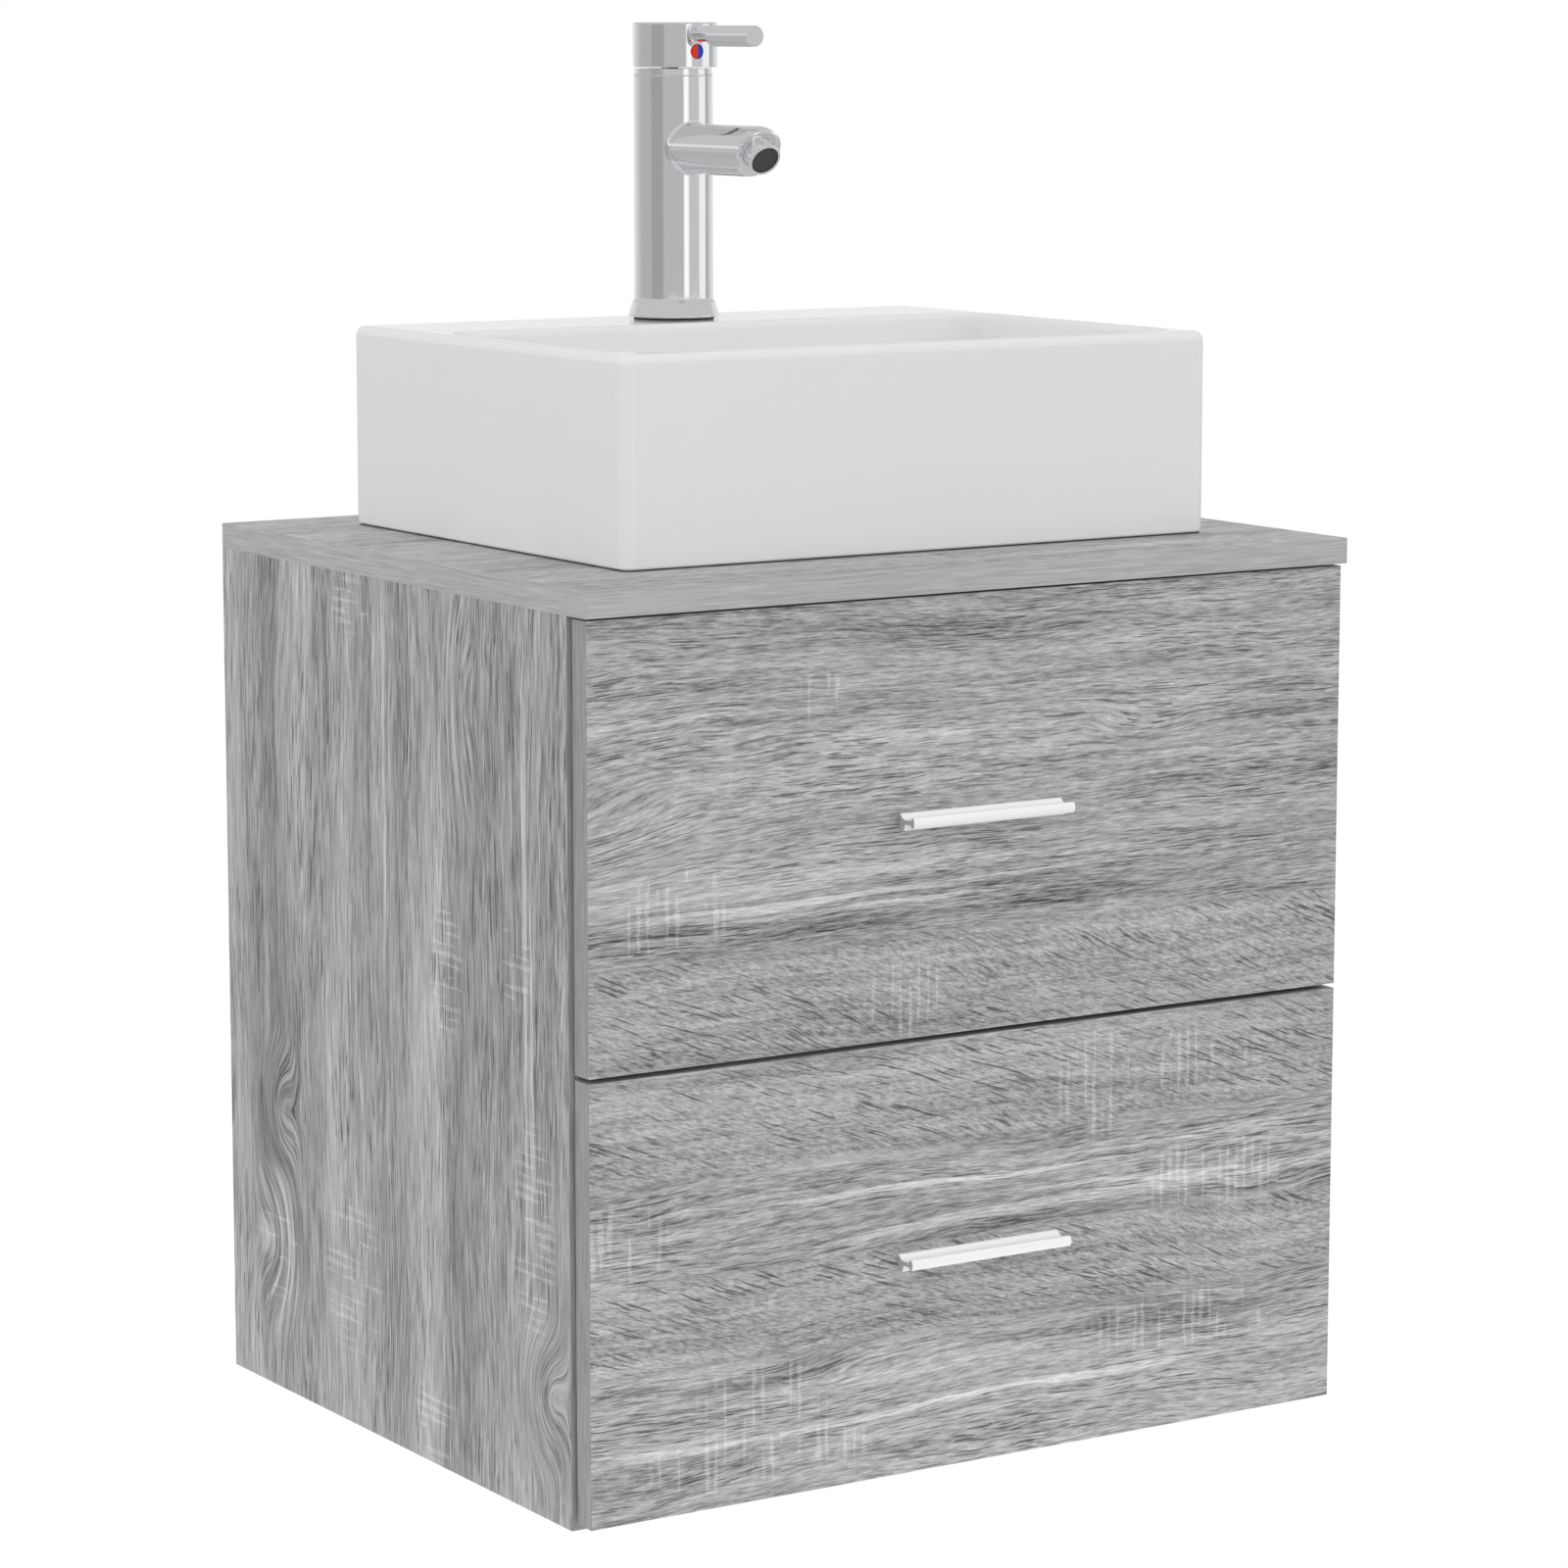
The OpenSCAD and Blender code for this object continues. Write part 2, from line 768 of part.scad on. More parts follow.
module tap_body() {
    color(chrome)
        at_tap()
            difference() {
                rotate_extrude()
                    polygon([[0, gasket_t], [base_r - 0.6, gasket_t], [base_r, gasket_t + 0.7], [base_r, 3],
                        [27, 11.5], [26.1, 12.2], [column_r, 13.4], [column_r, neck_z], [0, neck_z]]);
                rod_z(cavity_r, 0, 0, [0, cavity_z]);
                rod_z(cartridge_r, 0, 0, [cartridge_z, neck_z + 1]);
                rod_z(stud_r, 0, stud_y, [cavity_z - 1, cavity_z + stud_len]);
                for (x = [-inlet_x, inlet_x]) {
                    rod_z(inlet_r, x, inlet_y, [cavity_z - 1, cavity_z + inlet_len + 1]);
                    rod_z(water_r, x, inlet_y, [cavity_z + inlet_len, cartridge_z + 1]);
                }
                rod_z(mixed_r, 0, mixed_y, [spout_z, cartridge_z + 1]);
                rod_y(spout_bore_r, 0, [-column_r - 2, mixed_y - 1], spout_z);
            }
}

module tap_gasket() {
    color(rubber)
        at_tap()
            difference() {
                rod_z(gasket_r, 0, 0, [0, gasket_t]);
                rod_z(cavity_r, 0, 0, [-1, gasket_t + 1]);
            }
}

// Turns its children to look along the spout's outlet, forward and down
module at_outlet() {
    at_tap() translate([0, -spout_reach, spout_z]) rotate([90 + outlet_dip, 0, 0]) children();
}

module tap_spout() {
    color(chrome)
        difference() {
            at_tap() {
                rod_y(spout_r, 0, [-spout_reach, -10], spout_z);
                translate([0, -spout_reach, spout_z]) sphere(r = spout_r);
            }
            at_tap() rod_z(column_r, 0, 0, [0, neck_z]);
            at_tap() rod_y(spout_bore_r, 0, [-spout_reach, 0], spout_z);
            at_outlet() block([-30, 30], [-30, 30], [mouth, 40]);
            at_outlet() rod_z(aerator_r, 0, 0, [-3, mouth + 1]);
        }
}

module aerator_housing() {
    color(chrome)
        at_outlet()
            difference() {
                rod_z(aerator_r, 0, 0, [-3, mouth + aerator_out]);
                rod_z(aerator_r - aerator_wall, 0, 0, [mouth + 1.5, mouth + aerator_out + 1]);
                rod_z(aerator_r - 4, 0, 0, [-4, mouth + 2]);
            }
}

module aerator_mesh() {
    color([0.30, 0.30, 0.31])
        at_outlet() rod_z(aerator_r - aerator_wall, 0, 0, [mouth + 1.5, mouth + 1.5 + mesh_t]);
}

module tap_stud() {
    color(brass)
        at_tap() rod_z(stud_r, 0, stud_y, [-50, cavity_z + stud_len]);
}

// Plate under the deck, open to the front around the hoses
module horseshoe(z) {
    at_tap()
        difference() {
            rod_z(clamp_r, 0, 0, z);
            rod_z(clamp_mouth_r, 0, -6, [z[0] - 1, z[1] + 1]);
            block([-clamp_mouth_r, clamp_mouth_r], [-clamp_r - 1, -6], [z[0] - 1, z[1] + 1]);
            rod_z(stud_r, 0, stud_y, [z[0] - 1, z[1] + 1]);
        }
}

module horseshoe_seal() {
    color(rubber) horseshoe([-ceramic_t - clamp_seal_t, -ceramic_t]);
}

module horseshoe_washer() {
    color(steel)
        horseshoe([-ceramic_t - clamp_seal_t - clamp_washer_t, -ceramic_t - clamp_seal_t]);
}

module stud_nut() {
    color(brass)
        at_tap()
            difference() {
                translate([0, stud_y, -ceramic_t - 12]) cylinder(r = 7.5, h = 7, $fn = 6);
                rod_z(stud_r, 0, stud_y, [-ceramic_t - 13, -ceramic_t - 4]);
            }
}

// Housing of the mixing cartridge: a cup that holds the turning rotor
module cartridge_body() {
    color([0.86, 0.86, 0.84])
        at_tap()
            difference() {
                union() {
                    rod_z(cartridge_r, 0, 0, [cartridge_z, cartridge_step_z]);
                    rod_z(cartridge_step_r, 0, 0, [cartridge_step_z, cartridge_top]);
                }
                rod_z(rotor_r + running_fit, 0, 0, [rotor_z - 0.3, cartridge_top + 1]);
                for (x = [-inlet_x, inlet_x])
                    rod_z(water_r, x, inlet_y, [cartridge_z - 1, rotor_z - 4]);
                rod_z(mixed_r, 0, mixed_y, [cartridge_z - 1, rotor_z - 4]);
            }
}

// Ring that screws the cartridge down, with the short neck under the lever's head
module cartridge_nut() {
    color(chrome)
        at_tap()
            rotate_extrude()
                polygon([[cartridge_step_r, cartridge_step_z], [cartridge_r, cartridge_step_z],
                    [cartridge_r, neck_z], [column_r - 0.3, neck_z], [column_r - 0.1, neck_z + 0.6],
                    [24.8, neck_top - 0.6], [24.3, neck_top], [rotor_r + 0.5, neck_top],
                    [rotor_r + 0.5, cartridge_top], [cartridge_step_r, cartridge_top]]);
}

// ---- tap: moving pieces ----

// Rotor with the slot that the stem tilts in, and the pin that it tilts on
module cartridge_rotor() {
    color([0.30, 0.32, 0.36])
        at_tap()
            union() {
                difference() {
                    rod_z(rotor_r, 0, 0, [rotor_z, rotor_top]);
                    block([-stem_half - 0.4, stem_half + 0.4], [-3.6, 10.6], [stem_slot_z, rotor_top + 1]);
                }
                rod_x(pin_r, [-pin_half, pin_half], pivot_y, pivot_z);
            }
}

module stem_shape() {
    block([-stem_half, stem_half], [pivot_y - stem_half, pivot_y + stem_half],
        [stem_slot_z + 2, tap_h - 4.5]);
}

module cartridge_stem() {
    color(steel)
        at_tap()
            difference() {
                stem_shape();
                rod_x(pin_r + running_fit, [-stem_half - 1, stem_half + 1], pivot_y, pivot_z);
            }
}

// Cap over the cartridge. Its underside is cut back behind the pivot, so that it clears the neck
// when the lever is lifted all the way
module lever_head() {
    cut_up = neck_top + tilt_room - pivot_z;
    color(chrome)
        at_tap()
            difference() {
                rod_z(head_r, 0, head_y, [head_z, tap_h]);
                rod_z(head_cavity_r, 0, 0, [head_z - 1, head_cavity_top]);
                translate([0, pivot_y, pivot_z]) rotate([lift_angle, 0, 0])
                    block([-40, 40], [-40, 40], [-30, cut_up]);
                stem_shape();
                rod_y(lever_neck_r, 0, [-40, lever_root_y], lever_neck_z);
                rod_y(mark_r, 0, [-40, head_y - head_r + mark_seat], mark_z);
            }
}

// Rod whose root is thinner and a little higher, which leaves the mark in sight
module lever_rod() {
    color(chrome)
        at_tap() {
            rod_y(lever_r, 0, [-lever_reach, lever_neck_y], lever_z);
            rod_y(lever_neck_r, 0, [lever_neck_y, lever_root_y], lever_neck_z);
        }
}

module temperature_mark() {
    seat = head_y - head_r + mark_seat;
    color("red") at_tap() rod_y(mark_r, 0, [seat - mark_t, seat], mark_z);
}

worktop();
side_panel_left();
side_panel_right();
bottom_panel();
top_back_rail();
bottom_back_rail();
carcass_dowels();
cam_locks();
cam_bolts();
runner_screws();
upper_runner_left();
upper_runner_right();
lower_runner_left();
lower_runner_right();
upper_front();
upper_handle();
upper_handle_screws();
upper_side_left();
upper_side_right();
upper_floor();
upper_back();
upper_notch_walls();
upper_drawer_runners();
lower_front();
lower_handle();
lower_handle_screws();
lower_side_left();
lower_side_right();
lower_floor();
lower_back();
lower_drawer_runners();
upper_cabinet_rollers();
upper_drawer_rollers();
lower_cabinet_rollers();
lower_drawer_rollers();
basin();
basin_bed();
overflow_ring();
waste_body();
waste_seal();
waste_washer();
waste_nut();
plug_cap();
plug_stem();
tap_body();
tap_gasket();
tap_spout();
aerator_housing();
aerator_mesh();
tap_stud();
horseshoe_seal();
horseshoe_washer();
stud_nut();
cartridge_body();
cartridge_nut();
cartridge_rotor();
cartridge_stem();
lever_head();
lever_rod();
temperature_mark();
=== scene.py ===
"""Looks for the wall-hung vanity with a vessel basin and a mixer tap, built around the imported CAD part."""

import json
import math

import bmesh
import bpy
from mathutils import Matrix, Vector


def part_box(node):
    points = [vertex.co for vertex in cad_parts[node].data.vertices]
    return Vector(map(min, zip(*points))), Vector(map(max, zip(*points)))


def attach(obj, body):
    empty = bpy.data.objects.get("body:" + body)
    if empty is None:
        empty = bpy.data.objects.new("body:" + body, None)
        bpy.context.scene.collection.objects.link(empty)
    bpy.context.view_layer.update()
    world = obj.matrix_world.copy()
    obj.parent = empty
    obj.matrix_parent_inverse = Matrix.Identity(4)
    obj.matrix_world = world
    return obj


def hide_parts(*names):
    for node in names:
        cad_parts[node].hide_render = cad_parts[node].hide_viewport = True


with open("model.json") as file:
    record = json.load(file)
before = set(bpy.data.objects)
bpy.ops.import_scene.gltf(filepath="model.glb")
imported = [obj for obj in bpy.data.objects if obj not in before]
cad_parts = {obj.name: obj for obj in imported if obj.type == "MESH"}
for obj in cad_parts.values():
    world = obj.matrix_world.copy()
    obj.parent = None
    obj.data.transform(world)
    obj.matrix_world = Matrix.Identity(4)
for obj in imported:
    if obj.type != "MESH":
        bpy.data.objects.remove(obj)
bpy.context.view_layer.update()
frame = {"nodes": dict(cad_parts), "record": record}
NODES = frame["nodes"]
MM = 0.001

# ---------------------------------------------------------------- places taken from the CAD nodes


def limits(node):
    """The node's box as three (low, high) pairs, in metres."""
    low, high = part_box(node)
    return [(low[i], high[i]) for i in range(3)]


BASIN = limits("basin")
WORKTOP = limits("worktop")
CAP = limits("plug_cap")
DECK_Z = BASIN[2][1]
BASIN_X = (BASIN[0][0] + BASIN[0][1]) / 2
TAP_Y = (limits("tap_body")[1][0] + limits("tap_body")[1][1]) / 2
TAP = Vector((BASIN_X, TAP_Y, DECK_Z))
WASTE = Vector(((CAP[0][0] + CAP[0][1]) / 2, (CAP[1][0] + CAP[1][1]) / 2, 0))
WASTE_TOP = limits("waste_body")[2][1]
FLOOR_Z = limits("waste_seal")[2][0]

# ---------------------------------------------------------------- small mesh tools


def new_object(name, bm, body, material, smooth_deg=35):
    """Turns a bmesh into a piece that rides on a CAD body, smooth but for its sharp edges."""
    bmesh.ops.remove_doubles(bm, verts=bm.verts, dist=1e-7)
    bmesh.ops.recalc_face_normals(bm, faces=bm.faces)
    limit = math.radians(smooth_deg)
    for face in bm.faces:
        face.smooth = True
    for edge in bm.edges:
        edge.smooth = len(edge.link_faces) == 2 and edge.calc_face_angle(math.pi) < limit
    mesh = bpy.data.meshes.new(name)
    bm.to_mesh(mesh)
    bm.free()
    obj = bpy.data.objects.new(name, mesh)
    bpy.context.scene.collection.objects.link(obj)
    mesh.materials.append(material)
    steady = obj.modifiers.new("steady", "WEIGHTED_NORMAL")
    steady.keep_sharp = True
    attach(obj, body)
    return obj


def fillet(points, steps=6, closed=False):
    """Rounds a polyline's corners. Each point is (a, b) or (a, b, radius)."""
    count = len(points)
    out = []
    for i, point in enumerate(points):
        here = Vector(point[:2])
        radius = point[2] if len(point) > 2 else 0
        inner = closed or 0 < i < count - 1
        if not radius or not inner:
            out.append(here)
            continue
        before = (Vector(points[i - 1][:2]) - here).normalized()
        after = (Vector(points[(i + 1) % count][:2]) - here).normalized()
        half = before.angle(after) / 2
        reach = radius / math.tan(half)
        centre = here + (before + after).normalized() * (radius / math.sin(half))
        start = here + before * reach - centre
        end = here + after * reach - centre
        turn = start.angle_signed(end)
        for k in range(steps + 1):
            out.append(centre + Matrix.Rotation(-turn * k / steps, 2) @ start)
    return out


def lathe(bm, profile, matrix=Matrix.Identity(4), segments=128):
    """Turns a profile of (radius, height) points round Z, placed by the matrix."""
    rings = []
    for radius, height in profile:
        if radius < 1e-7:
            rings.append([bm.verts.new(matrix @ Vector((0, 0, height)))])
            continue
        angles = [2 * math.pi * k / segments for k in range(segments)]
        rings.append([bm.verts.new(matrix @ Vector((radius * math.cos(a), radius * math.sin(a), height)))
                      for a in angles])
    for low, high in zip(rings, rings[1:]):
        bridge(bm, low, high)


def bridge(bm, low, high):
    """Joins two rings, either of which may be a single point."""
    if len(low) == len(high) == 1:
        return
    count = max(len(low), len(high))
    for k in range(count):
        n = (k + 1) % count
        if len(low) == 1:
            bm.faces.new((low[0], high[n], high[k]))
        elif len(high) == 1:
            bm.faces.new((low[k], low[n], high[0]))
        else:
            bm.faces.new((low[k], low[n], high[n], high[k]))


def rounded_rectangle(x, y, radius, corner_steps=12, side_steps=6):
    """Points round a rectangle with rounded corners, anticlockwise from the middle of the right side."""
    corners = [(x[1] - radius, y[1] - radius, 0), (x[0] + radius, y[1] - radius, 90),
               (x[0] + radius, y[0] + radius, 180), (x[1] - radius, y[0] + radius, 270)]
    out = []
    for i, (cx, cy, start) in enumerate(corners):
        for k in range(corner_steps + 1):
            a = math.radians(start + 90 * k / corner_steps)
            out.append(Vector((cx + radius * math.cos(a), cy + radius * math.sin(a))))
        nx, ny, nstart = corners[(i + 1) % 4]
        a = math.radians(nstart)
        following = Vector((nx + radius * math.cos(a), ny + radius * math.sin(a)))
        last = out[-1].copy()
        out += [last.lerp(following, k / side_steps) for k in range(1, side_steps)]
    return out


def ring_at(bm, points, z):
    """A level ring of vertices over points on the plan."""
    return [bm.verts.new((p[0], p[1], z)) for p in points]


def cut(obj, cutter):
    """Subtracts a closed bmesh from a piece."""
    mesh = bpy.data.meshes.new("cutter")
    bmesh.ops.recalc_face_normals(cutter, faces=cutter.faces)
    cutter.to_mesh(mesh)
    cutter.free()
    tool = bpy.data.objects.new("cutter", mesh)
    bpy.context.scene.collection.objects.link(tool)
    modifier = obj.modifiers.new("cut", "BOOLEAN")
    modifier.operation = "DIFFERENCE"
    modifier.solver = "EXACT"
    modifier.object = tool
    depsgraph = bpy.context.evaluated_depsgraph_get()
    result = bpy.data.meshes.new_from_object(obj.evaluated_get(depsgraph))
    obj.modifiers.remove(modifier)
    old, obj.data = obj.data, result
    bpy.data.meshes.remove(old)
    bpy.data.objects.remove(tool)


def cylinder(radius, low, high, matrix=Matrix.Identity(4), segments=96):
    """Closed cylinder along Z as a bmesh, for cutting."""
    bm = bmesh.new()
    lathe(bm, [(0, low), (radius, low), (radius, high), (0, high)], matrix, segments)
    return bm


def box_mesh(x, y, z):
    """Box between three (low, high) pairs as a bmesh, for cutting."""
    bm = bmesh.new()
    bmesh.ops.create_cube(bm, size=1)
    for v in bm.verts:
        v.co = Vector((x[v.co.x > 0], y[v.co.y > 0], z[v.co.z > 0]))
    return bm


def along_y(x, y, z):
    """Matrix that lays Z along -Y, forward, with its origin at the given point."""
    return Matrix.Translation((x, y, z)) @ Matrix.Rotation(math.radians(90), 4, "X")


# ---------------------------------------------------------------- material nets


class Net:
    """One material's node tree, written as short expressions on sockets."""

    def __init__(self, name, base=(0.8, 0.8, 0.8), roughness=0.5, metallic=0.0, ior=1.5):
        self.material = bpy.data.materials.new(name)
        self.material.use_nodes = True
        self.tree = self.material.node_tree
        self.shader = self.tree.nodes["Principled BSDF"]
        self.shader.inputs["Base Color"].default_value = (*base, 1)
        self.shader.inputs["Roughness"].default_value = roughness
        self.shader.inputs["Metallic"].default_value = metallic
        self.shader.inputs["IOR"].default_value = ior
        self.where = self.add("ShaderNodeTexCoord").outputs["Object"]
        self.facing = self.tree.nodes[-1].outputs["Normal"]

    def add(self, kind):
        return self.tree.nodes.new(kind)

    def put(self, socket, value):
        if isinstance(value, bpy.types.NodeSocket):
            self.tree.links.new(value, socket)
        else:
            socket.default_value = value

    def math(self, operation, *values):
        node = self.add("ShaderNodeMath")
        node.operation = operation
        for socket, value in zip(node.inputs, values):
            self.put(socket, value)
        return node.outputs[0]

    def plus(self, a, b):
        return self.math("ADD", a, b)

    def times(self, a, b):
        return self.math("MULTIPLY", a, b)

    def blend(self, a, b, share):
        """a where share is 0 and b where it is 1."""
        node = self.add("ShaderNodeMapRange")
        self.put(node.inputs["Value"], share)
        self.put(node.inputs["To Min"], a)
        self.put(node.inputs["To Max"], b)
        return node.outputs[0]

    def ramp(self, value, low, high, start=0.0, end=1.0):
        """Smooth step of value between low and high."""
        node = self.add("ShaderNodeMapRange")
        node.interpolation_type = "SMOOTHSTEP"
        for name, v in (("Value", value), ("From Min", low), ("From Max", high),
                        ("To Min", start), ("To Max", end)):
            self.put(node.inputs[name], v)
        return node.outputs[0]

    def split(self, vector):
        node = self.add("ShaderNodeSeparateXYZ")
        self.put(node.inputs[0], vector)
        return node.outputs

    def join(self, x, y, z=0.0):
        node = self.add("ShaderNodeCombineXYZ")
        for socket, value in zip(node.inputs, (x, y, z)):
            self.put(socket, value)
        return node.outputs[0]

    def scale(self, vector, factors):
        node = self.add("ShaderNodeVectorMath")
        node.operation = "MULTIPLY"
        self.put(node.inputs[0], vector)
        node.inputs[1].default_value = factors
        return node.outputs[0]

    def noise(self, vector, detail=2.0, rough=0.5, size=1.0, distortion=0.0):
        """Noise from 0 to 1 about 0.5."""
        node = self.add("ShaderNodeTexNoise")
        self.put(node.inputs["Vector"], vector)
        node.inputs["Scale"].default_value = size
        node.inputs["Detail"].default_value = detail
        node.inputs["Roughness"].default_value = rough
        node.inputs["Distortion"].default_value = distortion
        return node.outputs[0]

    def spot(self, vector, centre, radii, edge=0.4):
        """1 inside an ellipse, falling smoothly to 0 at its rim."""
        move = self.add("ShaderNodeVectorMath")
        move.operation = "SUBTRACT"
        self.put(move.inputs[0], vector)
        move.inputs[1].default_value = (*centre, 0)
        shrink = self.scale(move.outputs[0], (1 / radii[0], 1 / radii[1], 0))
        length = self.add("ShaderNodeVectorMath")
        length.operation = "LENGTH"
        self.put(length.inputs[0], shrink)
        return self.ramp(length.outputs["Value"], edge, 1.0, 1.0, 0.0)

    def spots(self, vector, places, edge=0.4):
        """The strongest of several spots, each (u, v, half width, half height) in millimetres."""
        out = None
        for u, v, half_u, half_v in places:
            one = self.spot(vector, (u * MM, v * MM), (half_u * MM, half_v * MM), edge)
            out = one if out is None else self.math("MAXIMUM", out, one)
        return out

    def grey(self, value):
        """Sends a grey level to the base colour."""
        self.tree.links.new(self.join(value, value, value), self.shader.inputs["Base Color"])

    def colours(self, value, first, second):
        node = self.add("ShaderNodeMix")
        node.data_type = "RGBA"
        self.put(node.inputs["Factor"], value)
        node.inputs["A"].default_value = (*first, 1)
        node.inputs["B"].default_value = (*second, 1)
        self.tree.links.new(node.outputs["Result"], self.shader.inputs["Base Color"])

    def rough(self, value):
        self.tree.links.new(value, self.shader.inputs["Roughness"])

    def bump(self, height, strength, distance):
        node = self.add("ShaderNodeBump")
        node.inputs["Strength"].default_value = strength
        node.inputs["Distance"].default_value = distance
        self.put(node.inputs["Height"], height)
        self.tree.links.new(node.outputs["Normal"], self.shader.inputs["Normal"])


# ---------------------------------------------------------------- grey oak

# Grey of the oak, the weight of each size of streak in it, and how far the leaning patches lean
OAK = 0.36
RING_TONE = 0.40
STREAK_TONE = 0.34
FIBRE_TONE = 1.05
FIBRE_LEAN = 0.25
PORE_DEPTH = 0.66
PORE_LEAN = 0.40
LINE_LIFT = 0.20
SAW_LIFT = 0.14
SAW_PITCH = 6.5 * MM


def streaks_of(net, u, v, w, along, across, detail=3.0, rough=0.6):
    """Noise drawn out along the grain: features are 1/along metres long and 1/across wide."""
    return net.plus(net.noise(net.join(net.times(u, along), net.times(v, across), w), detail, rough), -0.5)


def grain(net, flat, tone, bands=0.35, bends=(), saw=(), slant=(), streaks=(), lines=(), fineness=90.0,
          rings=1.0):
    """Grey embossed oak on the plane flat = (u along the grain, v across it), in metres.
    Every region is (u, v, half length, half width) in millimetres. bends also give the lift of the
    grain, saw are patches of saw marks, slant are regions where the pores lean, streaks also give
    a depth of tone (light if negative), and lines are regions of pale growth rings. A higher
    fineness gives shorter fibres, and rings scales the broader streaks."""
    u, v, w = net.split(flat)
    sway = net.noise(net.scale(flat, (2.6, 8.0, 3.0)), 2.0)
    v = net.plus(v, net.times(net.plus(sway, -0.5), 0.036))
    wave = net.noise(net.scale(flat, (16.0, 34.0, 10.0)), 1.0)
    v = net.plus(v, net.times(net.plus(wave, -0.5), 0.0045))
    for cu, cv, ru, rv, lift in bends:
        here = net.spot(flat, (cu * MM, cv * MM), (ru * MM, rv * MM), 0.0)
        v = net.plus(v, net.times(here, lift * MM))
    lean = net.spots(flat, slant, 0.7) if slant else None
    level = net.plus(tone, net.times(streaks_of(net, u, v, w, 2.2, 26.0), bands))
    level = net.plus(level, net.times(streaks_of(net, u, v, w, 5.0, 150.0), RING_TONE * rings))
    level = net.plus(level, net.times(streaks_of(net, u, v, w, 16.0, 420.0), STREAK_TONE * rings))
    fibre = streaks_of(net, u, v, w, fineness, 880.0, 4.0, 0.68)
    pores = net.ramp(streaks_of(net, u, v, w, 40.0, 1080.0, 1.5, 0.5), 0.08, 0.12)
    if lean is not None:
        v_lean = net.plus(v, net.times(u, PORE_LEAN))
        fibre_lean = streaks_of(net, u, net.plus(v, net.times(u, FIBRE_LEAN)), w, 190.0, 880.0, 4.0, 0.68)
        fibre = net.blend(fibre, fibre_lean, lean)
        leaning = net.ramp(streaks_of(net, u, v_lean, w, 42.0, 560.0, 1.5, 0.5), 0.10, 0.15)
        pores = net.blend(pores, leaning, lean)
    level = net.plus(level, net.times(fibre, FIBRE_TONE))
    bent = net.join(u, net.plus(v, net.times(streaks_of(net, u, v, w, 9.0, 60.0), 0.02)), w)
    for cu, cv, ru, rv, depth in streaks:
        here = net.spot(bent, (cu * MM, cv * MM), (ru * MM, rv * MM), 0.5)
        level = net.plus(level, net.times(here, -depth))
    dense = net.ramp(streaks_of(net, u, v, w, 6.0, 45.0, 1.0), -0.16, 0.10, 0.30, 1.0)
    pores = net.times(pores, dense)
    level = net.times(level, net.plus(1.0, net.times(pores, -PORE_DEPTH)))
    height = net.plus(net.times(pores, -1.0), net.times(fibre, 2.0))
    if lines:
        region = net.spots(flat, lines, 0.4)
        pale = net.ramp(streaks_of(net, u, v, w, 2.4, 150.0, 1.5, 0.4), 0.045, 0.085)
        level = net.plus(level, net.times(net.times(region, pale), LINE_LIFT))
    if saw:
        patch = net.spots(flat, saw, 0.6)
        u_saw = net.plus(u, net.times(streaks_of(net, u, v, w, 30.0, 120.0, 1.0), 0.002))
        comb = net.math("SINE", net.times(u_saw, 2 * math.pi / SAW_PITCH))
        missing = net.times(streaks_of(net, u_saw, v, w, 95.0, 20.0, 2.0, 0.5), 7.0)
        ticks = net.ramp(net.plus(comb, missing), 0.75, 1.25)
        broken = net.ramp(net.noise(net.scale(flat, (900.0, 900.0, 900.0)), 1.0), 0.36, 0.52, 0.25, 1.0)
        marks = net.times(net.times(patch, ticks), broken)
        level = net.plus(level, net.times(marks, SAW_LIFT))
        height = net.plus(height, net.times(marks, 0.8))
    return level, height


def finish_oak(net, level, height):
    net.grey(level)
    net.rough(net.ramp(level, 0.15, 0.6, 0.62, 0.42))
    net.bump(height, 0.3, 0.0004)


FRONT_SAW = [(-215, 381, 38, 11), (-222, 357, 62, 20), (-52, 297, 38, 30), (-113, 482, 24, 20),
             (88, 228, 38, 42), (160, 238, 60, 24), (-250, 172, 36, 30), (-183, 170, 8, 24),
             (178, 162, 70, 28), (-146, 68, 66, 24), (160, 72, 96, 22), (-180, 32, 66, 22),
             (-100, 34, 26, 20)]
FRONT_SLANT = [(0, 304, 1500, 37), (0, 236, 1500, 37), (-60, 118, 900, 32)]
FRONT_STREAKS = [(-20, 359, 95, 5, 0.10), (-120, 344, 80, 4.5, 0.10), (80, 345, 200, 5, 0.07),
                 (-190, 468, 110, 2.2, 0.12), (225, 449, 60, 4, 0.13), (230, 466, 70, 4, 0.09),
                 (122, 446, 30, 5, 0.09), (-150, 79, 88, 9, 0.13), (-205, 66, 66, 6, 0.10),
                 (-255, 84, 46, 5, 0.12), (110, 74, 195, 9, 0.10), (-180, 191, 150, 5, 0.09),
                 (60, 196, 50, 3, 0.08), (-60, 452, 80, 5, -0.07), (40, 440, 80, 6, -0.07),
                 (175, 505, 140, 34, -0.05), (-115, 495, 60, 18, -0.04), (200, 400, 90, 30, -0.03)]
FRONT_LINES = [(-90, 364, 240, 15), (0, 172, 420, 27), (60, 50, 360, 18), (-200, 52, 110, 18)]
FRONT_ARCS = [(-300, 402, 120, 60, 17), (124, 446, 60, 16, 7), (-60, 96, 120, 34, -9),
              (215, 120, 130, 60, 12)]
SIDE_SAW = [(310, 56, 52, 24), (95, -68, 58, 46), (30, 38, 34, 30), (330, 142, 40, 22),
            (170, 160, 80, 30), (92, -172, 40, 34), (520, -62, 22, 30)]
